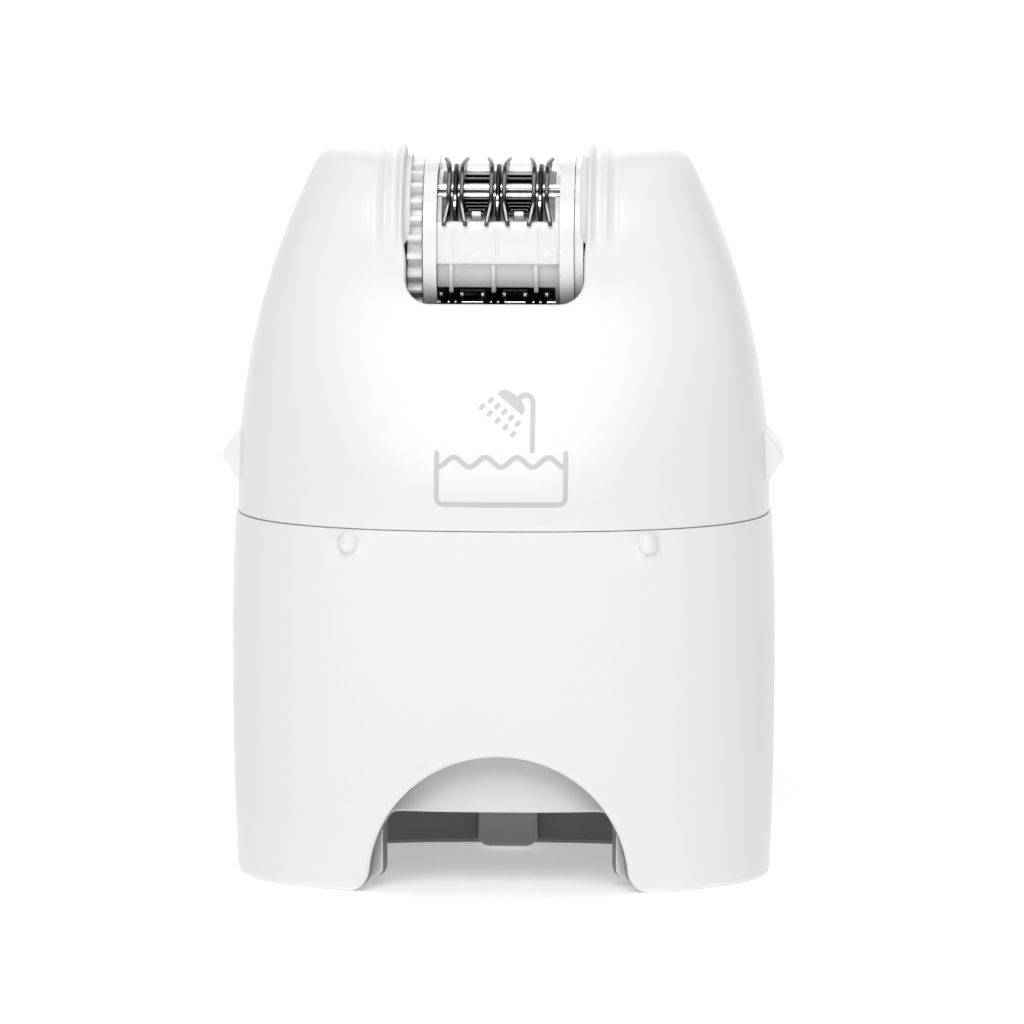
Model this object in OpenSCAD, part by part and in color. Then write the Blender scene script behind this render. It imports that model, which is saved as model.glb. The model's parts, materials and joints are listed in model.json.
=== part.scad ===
// Small-area epilator head: a hollow skirt that slips over a handle, a lift-off upper
// frame with two press buttons, and a spinning drum with three rows of tweezers driven
// through a gear train. Front is -Y, +Z is up, and the bottom edge lies on z = 0.

/* [Skirt] */
// Width of the skirt at its widest
skirt_w = 56; // [55.5:0.25:57]
// Depth of the skirt at the seam
skirt_d = 36.2; // [36:0.1:37]
// Height of the seam above the bottom edge
seam_z = 37.5; // [37.25:0.25:37.75]
// Wall thickness of the skirt
skirt_wall = 1.8; // [1.6:0.1:1.9]
// Radius of the finger arch in the front
arch_r = 13.3; // [11:0.1:14]
// Diameter of the two studs under the seam
stud_d = 2.1; // [1.5:0.1:2.5]
// Distance of each stud from the middle
stud_x = 15.2; // [12:0.1:17]

/* [Upper frame] */
// Wall thickness of the upper frame
frame_wall = 1.5; // [1.3:0.1:1.5]
// Outer radius of the dome over the drum
dome_r = 9.4; // [9.4:0.05:9.6]
// Width of the drum window
window_w = 18.3; // [18.3:0.1:18.6]
// Offset of the drum window from the middle
window_x = -0.6; // [-0.6:0.1:-0.5]
// Height of the lower edge of the drum window
window_z = 60; // [59:0.25:60.5]
// Height of the skin ridges beside the window
ridge_h = 0.55; // [0.3:0.05:0.7]

/* [Drum] */
// Height of the drum axis
axis_z = 65.5; // [65.5:0.05:65.6]
// Radius of the drum end flanges
flange_r = 8.6; // [8.4:0.05:8.7]
// Radius of the raised lobes between the rows
lobe_r = 7.95; // [7.8:0.05:8]
// Angle of the first row above the front horizontal
row_tilt = 40.7; // [30:0.1:50]

/* [Tweezers] */
// Distance between neighbouring tweezers in a row
pitch = 4.34; // [4.2:0.02:4.4]
// Sideways shift of every second row
row_shift = 0.4; // [0:0.05:0.7]
// Thickness of the moving plates
plate_t = 0.36; // [0.3:0.02:0.38]
// Distance from the tweezer middle to a plate middle
waist = 0.62; // [0.62:0.01:0.66]
// How far the plate ends flare outwards
flare = 0.55; // [0.3:0.05:0.6]
// Thickness of the fixed blades
blade_t = 0.44; // [0.3:0.02:0.44]

/* [Buttons] */
// Height of the release button tip
button_z = 43.3; // [43.2:0.1:43.5]
// Width of a release button, front to back
button_w = 7.6; // [6:0.2:8]
// How far a button stands out of the frame side
button_out = 1.5; // [1:0.1:1.5]

/* [Hidden] */
$fn = 64;
EPS = 0.01;
SEG = 64;

// Colours
white = [0.95, 0.95, 0.94];
ivory = [0.93, 0.92, 0.88];
dark_steel = [0.25, 0.25, 0.27];
bright_steel = [0.78, 0.79, 0.8];
brass = [0.8, 0.65, 0.35];
rubber = [0.12, 0.12, 0.12];

// Skirt
skirt_top_a = skirt_w / 2 - 0.4;
skirt_n = 2.4;
ledge_z = 20;
ledge_wall = 3.5;
spigot_h = 3;
spigot_wall = 1.2;
spigot_gap = 0.2;
seam_gap = 0.15;
key_w = 6.2;
key_y = 10.6;
key_d = 5.2;
key_z = 0.4;
key_h = 17;
key_gap = 0.2;
arch_z = 1.2;
boss_x = 23.2;
boss_y = 4.6;

// Upper frame
frame_bottom_z = seam_z + seam_gap;
frame_top_z = axis_z + dome_r;
frame_a0 = skirt_w / 2 - 0.65;
frame_b0 = skirt_d / 2 - 0.1;
frame_side_r = 74;
frame_corner = 1.2;
window_corner = 2.5;

// Inner sleeve
sleeve_a = 21.5;
sleeve_b = 13.4;
sleeve_n = 2.6;
sleeve_wall = 1.6;
sleeve_foot_z = 0.8;
sleeve_boss_x = 17.5;
sleeve_boss_y = 4.8;
notch_w = 23.8;
notch_z = 8;

// Chassis
deck_t = 2;
deck_top = ledge_z + deck_t;
deck_a = 25.6;
deck_b = 15.3;
tower_top = 33;
rib_w = 1.7;
wall_t = 1.8;
gear_wall_x = -12.4;
far_wall_x = 9.6;
post_x = 5.4;
post_t = 1.6;

// Drum, along X
drum_left = -9.6;
gear_w = 1.55;
flange_w = 1.35;
drum_right = 8.4;
hub_w = 0.9;
barrel_x0 = drum_left + gear_w + 0.1 + flange_w;
barrel_x1 = drum_right - hub_w - 1.5;
axle_r = 1.5;
run_gap = 0.05;
floor_r = 5.2;
recess_r = 7.2;
hub_r = 8.2;
slot_low = 20.8;
slot_top = 41.7;
recess_end = 65.3;
end_block = 0.6;

// Tweezers
rows = 3;
row_pitch = 360 / rows;
stations = 3;
grip_lean = 9.5;
rod_ring = 6.9;
rod_r = 0.42;
wire_r = 0.28;
rod_at = 14.6;
wire_at = 5.5;
slide_gap = 0.15;
rod_x0 = -7.7;
rod_x1 = 8.8;
plate_in = 5.6;
plate_out = 8.65;

// Gear train: all gears share one module
gear_m = 0.6;
drum_teeth = 26;
idler_teeth = 16;
lay_teeth = 14;
crown_teeth = 26;
pinion_teeth = 12;
pin_r = 1;
addendum = 0.8;
dedendum = 1.2;
press_angle = 20;
backlash = 0.05;
idler_z = axis_z - gear_m * (drum_teeth + idler_teeth) / 2;
lay_z = idler_z - gear_m * (idler_teeth + lay_teeth) / 2;
crown_r = gear_m * crown_teeth / 2;
crown_face = 1;
crown_x = -gear_m * pinion_teeth / 2;
crown_disc_t = 1.5;
crown_thin = 0.16;
pinion_z = lay_z - crown_r;

// Drive
shaft_r = 1.5;
bush_r = 3;
coupling_r = 3.2;
coupling_z = 15;
socket_r = 1.9;
socket_top = 18.8;

// Buttons
button_gap = 0.2;
flange_out = 24.6;
flange_t = 1.2;
seat_x = 18.6;
seat_t = 1.2;
spring_t = 0.3;

// Shape helpers

function spow(v, e) = sign(v) * pow(abs(v), e);
function smooth(u) = let (v = max(0, min(1, u))) v * v * (3 - 2 * v);

// Inset of a rounded edge of radius r at distance d from that edge
function edge_in(d, r) = d >= r ? 0 : r - sqrt(max(0, r * r - (r - d) * (r - d)));

function oval(a, b, n) = [
    for (i = [0 : SEG - 1])
        let (t = 360 * i / SEG)
        [a * spow(cos(t), 2 / n), b * spow(sin(t), 2 / n)]
];
function ring(z, a, b, n) = [for (p = oval(a, b, n)) [p[0], p[1], z]];

// Half width and half depth of the skirt
function skirt_a(z) =
    skirt_w / 2
    - (z > 24 ? 0.4 * pow((z - 24) / (seam_z - 24), 2) : 0.5 * pow((24 - z) / 24, 2))
    - edge_in(z, 0.6) - edge_in(seam_z - z, 0.35);
function skirt_b(z) =
    skirt_d / 2 - 1.6 * pow(max(0, seam_z - z) / seam_z, 1.5)
    - edge_in(z, 0.6) - edge_in(seam_z - z, 0.35);

// Half width, half depth and squareness of the upper frame
function frame_a(z) =
    frame_a0
    - (z > 40 ? frame_side_r - sqrt(pow(frame_side_r, 2) - pow(z - 40, 2)) : 0)
    - edge_in(frame_top_z - z, frame_corner);
function frame_b(z) =
    z >= axis_z
    ? sqrt(max(0, dome_r * dome_r - pow(z - axis_z, 2)))
    : dome_r + (frame_b0 - dome_r) * (1 - smooth((z - seam_z) / (axis_z - seam_z)));
function frame_b_in(z) =
    z >= axis_z
    ? sqrt(max(0, pow(dome_r - frame_wall, 2) - pow(z - axis_z, 2)))
    : frame_b(z) - frame_wall;
function frame_n(z) = 2.4 + 0.8 * smooth((z - 40) / 20);

// Solid through a list of closed sections with equal point counts
module loft(sections) {
    m = len(sections);
    s = len(sections[0]);
    polyhedron(
        points = [for (r = sections) each r],
        faces = concat(
            [[for (i = [0 : s - 1]) i]],
            [[for (i = [s - 1 : -1 : 0]) (m - 1) * s + i]],
            [for (k = [0 : m - 2], i = [0 : s - 1])
                let (j = (i + 1) % s) [k * s + i, (k + 1) * s + i, (k + 1) * s + j]],
            [for (k = [0 : m - 2], i = [0 : s - 1])
                let (j = (i + 1) % s) [k * s + i, (k + 1) * s + j, k * s + j]]
        ),
        convexity = 8
    );
}

// Everything inside becomes one closed shell surface
module one_shell() {
    resize([0, 0, 0]) children();
}

// Flat outline, first axis to the front and second axis up from the drum axis,
// pushed along X from x0
module along_x(x0, width, z = axis_z) {
    translate([x0, 0, z])
        rotate([90, 0, 90])
            linear_extrude(width)
                mirror([1, 0])
                    children();
}

module spoke(r, angle) {
    translate([r * cos(angle), r * sin(angle)])
        children();
}

module wedge(from, to) {
    mid = (from + to) / 2;
    reach = 30;
    polygon([
        [0, 0],
        reach * [cos(from), sin(from)],
        reach * [cos(mid), sin(mid)],
        reach * [cos(to), sin(to)]
    ]);
}

module ring_sector(r0, r1, from, to) {
    intersection() {
        difference() {
            circle(r1, $fn = 96);
            circle(r0, $fn = 96);
        }
        wedge(from, to);
    }
}

// Gear outlines

function involute(t) = t * 180 / PI - atan(t);
function flank_angle(teeth, r) =
    let (
        rp = gear_m * teeth / 2,
        rb = rp * cos(press_angle),
        t = r > rb ? sqrt(pow(r / rb, 2) - 1) : 0,
        tp = tan(press_angle)
    )
    90 / teeth - backlash / rp * 180 / PI + involute(tp) - involute(t);
function tooth_radii(teeth) =
    let (
        rp = gear_m * teeth / 2,
        rb = rp * cos(press_angle),
        root = rp - gear_m * dedendum,
        low = max(rb, root),
        tip = rp + gear_m * addendum
    )
    concat(root < rb ? [root] : [], [for (k = [0 : 3]) low + (tip - low) * k / 3]);
function gear_points(teeth) = [
    for (i = [0 : teeth - 1])
        let (mid = 360 * i / teeth, radii = tooth_radii(teeth), last = len(radii) - 1)
        each concat(
            [for (k = [0 : last])
                let (a = mid - flank_angle(teeth, radii[k])) radii[k] * [cos(a), sin(a)]],
            [for (k = [last : -1 : 0])
                let (a = mid + flank_angle(teeth, radii[k])) radii[k] * [cos(a), sin(a)]]
        )
];

module gear_outline(teeth, tooth_at) {
    rotate(tooth_at)
        polygon(gear_points(teeth));
}

// Rows
function row_angle(k) = row_tilt + row_pitch * k;
function row_offset(k) = -row_shift * k / (rows - 1);
function station_x(k, j) =
    window_x + 0.2 + row_offset(k) + pitch * (j - (stations - 1) / 2);
function on_drum(x, r, angle) = [x, -r * cos(angle), axis_z + r * sin(angle)];

module rod_holes(gap) {
    for (k = [0 : rows - 1]) {
        spoke(rod_ring, row_angle(k) + rod_at)
            circle(rod_r + gap, $fn = 24);
        spoke(rod_ring, row_angle(k) + wire_at)
            circle(wire_r + gap, $fn = 24);
    }
}

// Skirt parts

// The spigot is upright, so it clears the frame where the frame is narrowest
spigot_a = frame_a(seam_z + spigot_h) - frame_wall - spigot_gap;
spigot_b = frame_b(seam_z + spigot_h) - frame_wall - spigot_gap;

module skirt_outer() {
    levels = [0, 0.15, 0.35, 0.6, 4, 9, 15, 20, 25, 30, 34, seam_z - 0.35, seam_z - 0.12];
    loft(concat(
        [for (z = levels) ring(z, skirt_a(z), skirt_b(z), skirt_n)],
        [
            ring(seam_z, skirt_a(seam_z), skirt_b(seam_z), skirt_n),
            ring(seam_z, spigot_a, spigot_b, skirt_n),
            ring(seam_z + spigot_h - 0.3, spigot_a, spigot_b, skirt_n),
            ring(seam_z + spigot_h, spigot_a - 0.3, spigot_b - 0.3, skirt_n)
        ]
    ));
}

module skirt_inner() {
    neck_a = spigot_a - spigot_wall;
    neck_b = spigot_b - spigot_wall;
    a = skirt_w / 2;
    loft([
        ring(-1, skirt_a(0.6) - skirt_wall, skirt_b(0.6) - skirt_wall, skirt_n),
        ring(0.6, skirt_a(0.6) - skirt_wall, skirt_b(0.6) - skirt_wall, skirt_n),
        ring(9, skirt_a(9) - skirt_wall, skirt_b(9) - skirt_wall, skirt_n),
        ring(16, skirt_a(16) - skirt_wall, skirt_b(16) - skirt_wall, skirt_n),
        ring(17.8, a - ledge_wall, skirt_b(18) - ledge_wall, skirt_n),
        ring(ledge_z, a - ledge_wall, skirt_b(ledge_z) - ledge_wall, skirt_n),
        ring(ledge_z, a - skirt_wall, skirt_b(ledge_z) - skirt_wall, skirt_n),
        ring(32, skirt_a(32) - skirt_wall, skirt_b(32) - skirt_wall, skirt_n),
        ring(34, neck_a, neck_b, skirt_n),
        ring(seam_z + spigot_h + 1, neck_a, neck_b, skirt_n)
    ]);
}

// Depth of the skirt surface in front of a point beside the middle
function skirt_y(x, z) =
    skirt_b(z) * pow(1 - pow(x / skirt_a(z), skirt_n), 1 / skirt_n);

module lower_casing() {
    color(white)
        one_shell()
            union() {
                difference() {
                    union() {
                        difference() {
                            skirt_outer();
                            skirt_inner();
                        }
                        intersection() {
                            skirt_outer();
                            for (sx = [-1, 1], sy = [-1, 1])
                                translate([sx * boss_x, sy * boss_y, 9])
                                    cylinder(r = 1.9, h = ledge_z - 9, $fn = 20);
                        }
                    }
                    rotate([90, 0, 0])
                        linear_extrude(skirt_d)
                            hull() {
                                translate([0, arch_z])
                                    circle(arch_r, $fn = 72);
                                translate([-arch_r, -1])
                                    square([2 * arch_r, 1]);
                            }
                    for (sx = [-1, 1], sy = [-1, 1])
                        translate([sx * boss_x, sy * boss_y, 12])
                            cylinder(r = 1, h = 20, $fn = 12);
                }
                for (sx = [-1, 1])
                    translate([sx * stud_x, -skirt_y(stud_x, seam_z - 1.2), seam_z - 1.2])
                        sphere(d = stud_d, $fn = 20);
                translate([-key_w / 2, key_y, key_z])
                    cube([key_w, key_d, key_h]);
            }
}

module inner_sleeve() {
    color(white)
        difference() {
            union() {
                translate([0, 0, sleeve_foot_z])
                    linear_extrude(ledge_z - sleeve_foot_z)
                        difference() {
                            polygon(oval(sleeve_a, sleeve_b, sleeve_n));
                            polygon(oval(
                                sleeve_a - sleeve_wall, sleeve_b - sleeve_wall, sleeve_n
                            ));
                        }
                for (sx = [-1, 1], sy = [-1, 1])
                    translate([sx * sleeve_boss_x, sy * sleeve_boss_y, 15])
                        cylinder(r = 1.8, h = ledge_z - 15);
            }
            translate([-notch_w / 2, -sleeve_b - 1, -1])
                cube([notch_w, sleeve_b, notch_z + 1]);
            // slot that the casing's rear key passes through
            translate([-key_w / 2 - key_gap, key_y - 1, -1])
                cube([key_w + 2 * key_gap, key_d, key_z + key_h + key_gap + 1]);
            for (sx = [-1, 1], sy = [-1, 1])
                translate([sx * sleeve_boss_x, sy * sleeve_boss_y, 16])
                    cylinder(r = 0.8, h = 10);
        }
}

module pan_screw(head_z, tip_z) {
    translate([0, 0, tip_z])
        cylinder(r = 0.8, h = head_z - tip_z);
    translate([0, 0, head_z])
        difference() {
            cylinder(r = 1.6, h = 1);
            for (turn = [0, 90])
                rotate(turn)
                    translate([-1, -0.2, 0.5])
                        cube([2, 0.4, 1]);
        }
}

module sleeve_screws() {
    color(bright_steel)
        for (sx = [-1, 1], sy = [-1, 1])
            translate([sx * sleeve_boss_x, sy * sleeve_boss_y, 0])
                pan_screw(deck_top, 16.2);
}

module deck_screws() {
    color(bright_steel)
        for (sx = [-1, 1], sy = [-1, 1])
            translate([sx * boss_x, sy * boss_y, 0])
                pan_screw(deck_top, 12.5);
}

// Chassis

module chassis_deck() {
    color(ivory)
        difference() {
            union() {
                translate([0, 0, ledge_z])
                    linear_extrude(deck_t)
                        polygon(oval(deck_a, deck_b, skirt_n));
                translate([0, 0, ledge_z])
                    cylinder(r = 4.2, h = tower_top - ledge_z);
                for (turn = [0, 90, 180, 270])
                    rotate(turn)
                        translate([3.6, -0.5, deck_top - EPS])
                            cube([rib_w, 1, 6]);
            }
            translate([0, 0, ledge_z - 1])
                cylinder(r = bush_r, h = tower_top);
            for (sx = [-1, 1], sy = [-1, 1]) {
                translate([sx * boss_x, sy * boss_y, ledge_z - 1])
                    cylinder(r = 0.8, h = 10);
                translate([sx * sleeve_boss_x, sy * sleeve_boss_y, ledge_z - 1])
                    cylinder(r = 0.8, h = 10);
            }
        }
}

// Side plate of the chassis, narrowing from the deck to the drum axle
module wall_outline() {
    foot = deck_top - axis_z;
    polygon([
        [-10.5, foot], [10.5, foot], [9.5, -22], [6.5, -8], [4.4, 2.2], [3, 3.8],
        [-3, 3.8], [-4.4, 2.2], [-6.5, -8], [-9.5, -22]
    ]);
}

module gear_side_wall() {
    color(ivory)
        along_x(gear_wall_x, wall_t)
            difference() {
                wall_outline();
                circle(axle_r);
                translate([0, idler_z - axis_z])
                    circle(pin_r, $fn = 32);
                translate([0, lay_z - axis_z])
                    circle(pin_r + run_gap, $fn = 32);
            }
}

module far_side_wall() {
    color(ivory)
        along_x(far_wall_x, wall_t)
            difference() {
                wall_outline();
                circle(axle_r);
                translate([0, -27])
                    circle(4.5);
            }
}

module layshaft_post() {
    color(ivory)
        along_x(post_x, post_t)
            difference() {
                polygon([
                    [-6, deck_top - axis_z], [6, deck_top - axis_z],
                    [3, lay_z - axis_z], [2.4, lay_z - axis_z + 3],
                    [-2.4, lay_z - axis_z + 3], [-3, lay_z - axis_z]
                ]);
                translate([0, lay_z - axis_z])
                    circle(pin_r + run_gap, $fn = 32);
            }
}

module drum_axle() {
    color(bright_steel)
        along_x(gear_wall_x - 0.4, far_wall_x + wall_t - gear_wall_x + 0.8)
            circle(axle_r);
}

module drum_washers() {
    color(brass) {
        along_x(gear_wall_x + wall_t, drum_left - run_gap - gear_wall_x - wall_t)
            difference() {
                circle(2.6);
                circle(axle_r);
            }
        along_x(drum_right + run_gap, far_wall_x - drum_right - run_gap)
            difference() {
                circle(2.6);
                circle(axle_r);
            }
    }
}

module idler_pin() {
    color(bright_steel) {
        along_x(gear_wall_x, drum_left + gear_w + 0.45 - gear_wall_x, idler_z)
            circle(pin_r, $fn = 32);
        along_x(gear_wall_x + wall_t, 0.9, idler_z)
            difference() {
                circle(1.9, $fn = 32);
                circle(pin_r, $fn = 32);
            }
        along_x(drum_left + gear_w + 0.1, 0.35, idler_z)
            difference() {
                circle(1.9, $fn = 32);
                circle(pin_r, $fn = 32);
            }
    }
}

module closing_cam() {
    color(dark_steel) {
        along_x(far_wall_x - 0.3, 0.3)
            difference() {
                circle(7.4);
                circle(6.2);
            }
        along_x(far_wall_x - 0.5, 0.2 + EPS)
            ring_sector(6.2, 7.4, 15, 75);
    }
}

// Upper frame

function frame_ring(z, grow) =
    ring(z, frame_a(z) + grow, frame_b(z) + grow, frame_n(z));

module frame_outer(grow = 0) {
    side = [for (z = [frame_bottom_z, 40, 44, 48, 52, 56, 59, 62]) frame_ring(z, grow)];
    dome = [
        for (t = [0, 13, 26, 38, 49, 58, 66, 73, 79, 84, 88])
            let (z = axis_z + dome_r * sin(t))
            ring(
                z + grow * sin(t),
                frame_a(z) + grow,
                frame_b(z) + grow * cos(t),
                frame_n(z)
            )
    ];
    loft(concat(side, dome));
}

module frame_inner() {
    side = [
        for (z = [frame_bottom_z - 1, 40, 44, 48, 52, 56, 59, 62])
            ring(z, frame_a(z) - frame_wall, frame_b_in(z), frame_n(z))
    ];
    dome = [
        for (t = [0, 20, 40, 55, 67, 78, 87])
            let (z = axis_z + (dome_r - frame_wall) * sin(t))
            ring(z, frame_a(z) - frame_wall, frame_b_in(z), frame_n(z))
    ];
    loft(concat(side, dome));
}

module window_cut() {
    translate([window_x, 0, 0])
        rotate([90, 0, 0])
            linear_extrude(60, center = true)
                hull() {
                    for (sx = [-1, 1])
                        translate([
                            sx * (window_w / 2 - window_corner), window_z + window_corner
                        ])
                            circle(window_corner, $fn = 32);
                    translate([-window_w / 2, 85])
                        square([window_w, 1]);
                }
}

module skin_ridges() {
    left = window_x - window_w / 2;
    right = window_x + window_w / 2;
    for (x = [left - 0.95, left - 2.7, right + 0.2, right + 1.9])
        intersection() {
            frame_outer(ridge_h);
            translate([x, -20, axis_z + 1])
                cube([0.75, 40, 20]);
        }
}

module button_seats() {
    for (s = [-1, 1])
        scale([s, 1, 1]) {
            translate([seat_x, -6.8, button_z - 2.4])
                cube([seat_t, 13.6, 6.4]);
            for (y = [-6.8, 5.6])
                translate([seat_x, y, button_z - 2.4])
                    cube([25.1 - seat_x, 1.2, 6.4]);
        }
}

module upper_frame() {
    color(white)
        one_shell()
            union() {
                difference() {
                    union() {
                        frame_outer();
                        skin_ridges();
                    }
                    frame_inner();
                    window_cut();
                    for (s = [-1, 1])
                        translate([
                            s * 26 - 4,
                            -button_w / 2 - button_gap,
                            button_z - 2.3 - button_gap
                        ])
                            cube([8, button_w + 2 * button_gap, 5.1 + 2 * button_gap]);
                }
                button_seats();
            }
}

// Release buttons

module button_right() {
    face = frame_a0 - 0.05;
    tip = face + button_out;
    translate([0, button_w / 2, button_z])
        rotate([90, 0, 0])
            linear_extrude(button_w)
                polygon([
                    [flange_out, -2.3], [face, -2.3], [tip - 0.45, -0.6], [tip - 0.1, -0.25],
                    [tip, 0.05], [tip - 0.12, 0.4], [face - 0.1, 2.8], [flange_out, 2.8]
                ]);
    translate([flange_out - flange_t, -4.9, button_z - 2.45])
        cube([flange_t, 9.8, 6]);
    translate([flange_out - flange_t, -2.4, seam_z + 0.7])
        cube([0.6, 4.8, button_z - seam_z - 0.7]);
}

module release_button_right() {
    color(white)
        button_right();
}

module release_button_left() {
    color(white)
        mirror([1, 0, 0])
            button_right();
}

// Bowed leaf spring between the button flange and its seat
module spring_right() {
    back = flange_out - flange_t - 0.05;
    seat = seat_x + seat_t + 0.05;
    half = 4.6;
    bow = [for (t = [0 : 15 : 180]) [
        seat + (back - spring_t - seat) * pow(sin(t), 1.5), half * cos(t)
    ]];
    translate([0, 0, button_z - 1])
        linear_extrude(3)
            polygon(concat(
                bow,
                [for (k = [len(bow) - 1 : -1 : 0]) bow[k] + [spring_t, 0]]
            ));
}

module button_spring_right() {
    color(bright_steel)
        spring_right();
}

module button_spring_left() {
    color(bright_steel)
        mirror([1, 0, 0])
            spring_right();
}

// Drum

module barrel_outline() {
    circle(floor_r, $fn = 96);
    for (k = [0 : rows - 1]) {
        ring_sector(
            floor_r - 1, lobe_r,
            row_angle(k) + recess_end, row_angle(k) + row_pitch - slot_low
        );
        ring_sector(floor_r - 1, recess_r, row_angle(k) + slot_top, row_angle(k) + recess_end);
    }
}

module drum_barrel() {
    length = barrel_x1 - barrel_x0;
    color(white)
        difference() {
            union() {
                along_x(barrel_x0, length)
                    barrel_outline();
                for (k = [0 : rows - 1]) {
                    // end blocks that close the slot, notched for the push rods
                    for (x = k == 0 ? [barrel_x0, barrel_x1 - end_block] : [barrel_x1 - end_block])
                        along_x(x, end_block) {
                            ring_sector(
                                floor_r - 1, recess_r,
                                row_angle(k) - slot_low - 1, row_angle(k) - 1
                            );
                            ring_sector(
                                floor_r - 1, recess_r,
                                row_angle(k) + 19, row_angle(k) + slot_top + 1
                            );
                        }
                    // guide ribs in the recess, in line with the tweezers
                    for (j = [0 : stations - 1])
                        along_x(station_x(k, j) - 0.18, 0.36)
                            ring_sector(
                                recess_r - 1, lobe_r - 0.2,
                                row_angle(k) + slot_top, row_angle(k) + recess_end + 1
                            );
                    // stop blocks between the tweezers
                    for (j = [0 : stations - 2])
                        along_x(station_x(k, j) + pitch / 2 - 0.5, 1)
                            ring_sector(
                                floor_r - 1, recess_r,
                                row_angle(k) - 16, row_angle(k) - 11
                            );
                }
            }
            along_x(barrel_x0 - 1, length + 2)
                circle(axle_r + run_gap);
        }
}

module drum_gear() {
    color(white) {
        along_x(drum_left, gear_w)
            difference() {
                gear_outline(drum_teeth, -90);
                circle(axle_r + run_gap);
            }
        along_x(drum_left + gear_w, 0.1)
            difference() {
                circle(5);
                circle(axle_r + run_gap);
            }
    }
}

module drum_flange(x0, width, r) {
    along_x(x0, width)
        difference() {
            circle(r, $fn = 128);
            circle(axle_r + run_gap);
            rod_holes(slide_gap);
        }
}

module drum_flange_left() {
    color(white)
        drum_flange(drum_left + gear_w + 0.1, flange_w, flange_r);
}

module drum_flange_right() {
    color(white)
        drum_flange(barrel_x1, 1.5, flange_r);
}

module drum_hub_ring() {
    color(white)
        drum_flange(drum_right - hub_w, hub_w, hub_r);
}

// Tweezers

module fixed_blades(k) {
    color(dark_steel)
        for (j = [0 : stations - 1])
            along_x(station_x(k, j) - blade_t / 2, blade_t)
                difference() {
                    ring_sector(floor_r, plate_out - 0.2, row_angle(k) - 17, row_angle(k) + 38);
                    rod_holes(slide_gap);
                }
}

module row_1_fixed_blades() {
    fixed_blades(0);
}

module row_2_fixed_blades() {
    fixed_blades(1);
}

module row_3_fixed_blades() {
    fixed_blades(2);
}

// Inner edge of a moving plate: deep in the slot, high over the lobes
function plate_inner(a) =
    a < -19 ? 8.2 : a < -16.5 ? plate_in + (8.2 - plate_in) * (-16.5 - a) / 2.5
    : a < 17 ? plate_in : a < 19.5 ? plate_in + (7.5 - plate_in) * (a - 17) / 2.5
    : a < 34 ? 7.5 : a < 36.4 ? 7.5 + 0.7 * (a - 34) / 2.4 : 8.2;

// Sideways distance of a plate from the tweezer middle, flaring at both ends
function plate_side(a) = waist + flare * smooth((abs(a - grip_lean) - 15) / 26);

function plate_section(x, side, k, a) =
    let (
        mid = x + side * plate_side(a),
        angle = row_angle(k) + a,
        low = plate_inner(a),
        nip = abs(a - grip_lean) > 34.5 ? 0.12 : 0
    )
    [
        on_drum(mid - plate_t / 2, plate_out - nip, angle),
        on_drum(mid + plate_t / 2, plate_out - nip, angle),
        on_drum(mid + plate_t / 2, low, angle),
        on_drum(mid - plate_t / 2, low, angle)
    ];

module moving_plates(k) {
    stops = [-25.3, -22, -19, -16.5, -11, -5.6, 2, 9.5, 17, 19.5, 24.6, 29, 34, 36.4, 40, 44.3];
    color(dark_steel)
        for (j = [0 : stations - 1], side = [-1, 1])
            loft([for (a = stops) plate_section(station_x(k, j), side, k, a)]);
}

module row_1_moving_plates() {
    moving_plates(0);
}

module row_2_moving_plates() {
    moving_plates(1);
}

module row_3_moving_plates() {
    moving_plates(2);
}

// Ribbed webs that join the plates of neighbouring tweezers into channels
module webs(k) {
    x_gap = waist + plate_t / 2;
    color(dark_steel)
        for (j = [0 : stations - 2])
            along_x(station_x(k, j) + x_gap, pitch - 2 * x_gap) {
                ring_sector(plate_in + 0.1, plate_in + 0.4, row_angle(k) - 5, row_angle(k) + 38);
                ring_sector(plate_in + 0.1, recess_r - 0.2, row_angle(k) + 34, row_angle(k) + 38);
                for (a = [-5, 0.5, 6, 11.5, 19, 25])
                    ring_sector(
                        plate_in + 0.1, plate_in + 0.7,
                        row_angle(k) + a, row_angle(k) + a + 3
                    );
            }
}

module row_1_webs() {
    webs(0);
}

module row_2_webs() {
    webs(1);
}

module row_3_webs() {
    webs(2);
}

module push_rods(k) {
    color(bright_steel)
        along_x(rod_x0, rod_x1 - rod_x0) {
            spoke(rod_ring, row_angle(k) + rod_at)
                circle(rod_r, $fn = 24);
            spoke(rod_ring, row_angle(k) + wire_at)
                circle(wire_r, $fn = 24);
        }
}

module row_1_push_rods() {
    push_rods(0);
}

module row_2_push_rods() {
    push_rods(1);
}

module row_3_push_rods() {
    push_rods(2);
}

// Gear train

module idler_gear() {
    color(ivory)
        along_x(drum_left, gear_w, idler_z)
            difference() {
                gear_outline(idler_teeth, 90 + 180 / idler_teeth);
                circle(pin_r + run_gap, $fn = 32);
            }
}

module layshaft() {
    color(bright_steel)
        along_x(gear_wall_x, post_x + post_t + 0.8 - gear_wall_x, lay_z)
            circle(pin_r, $fn = 32);
}

module lay_gear() {
    color(ivory)
        along_x(drum_left, gear_w, lay_z)
            difference() {
                gear_outline(lay_teeth, 90);
                circle(pin_r, $fn = 32);
            }
}

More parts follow.
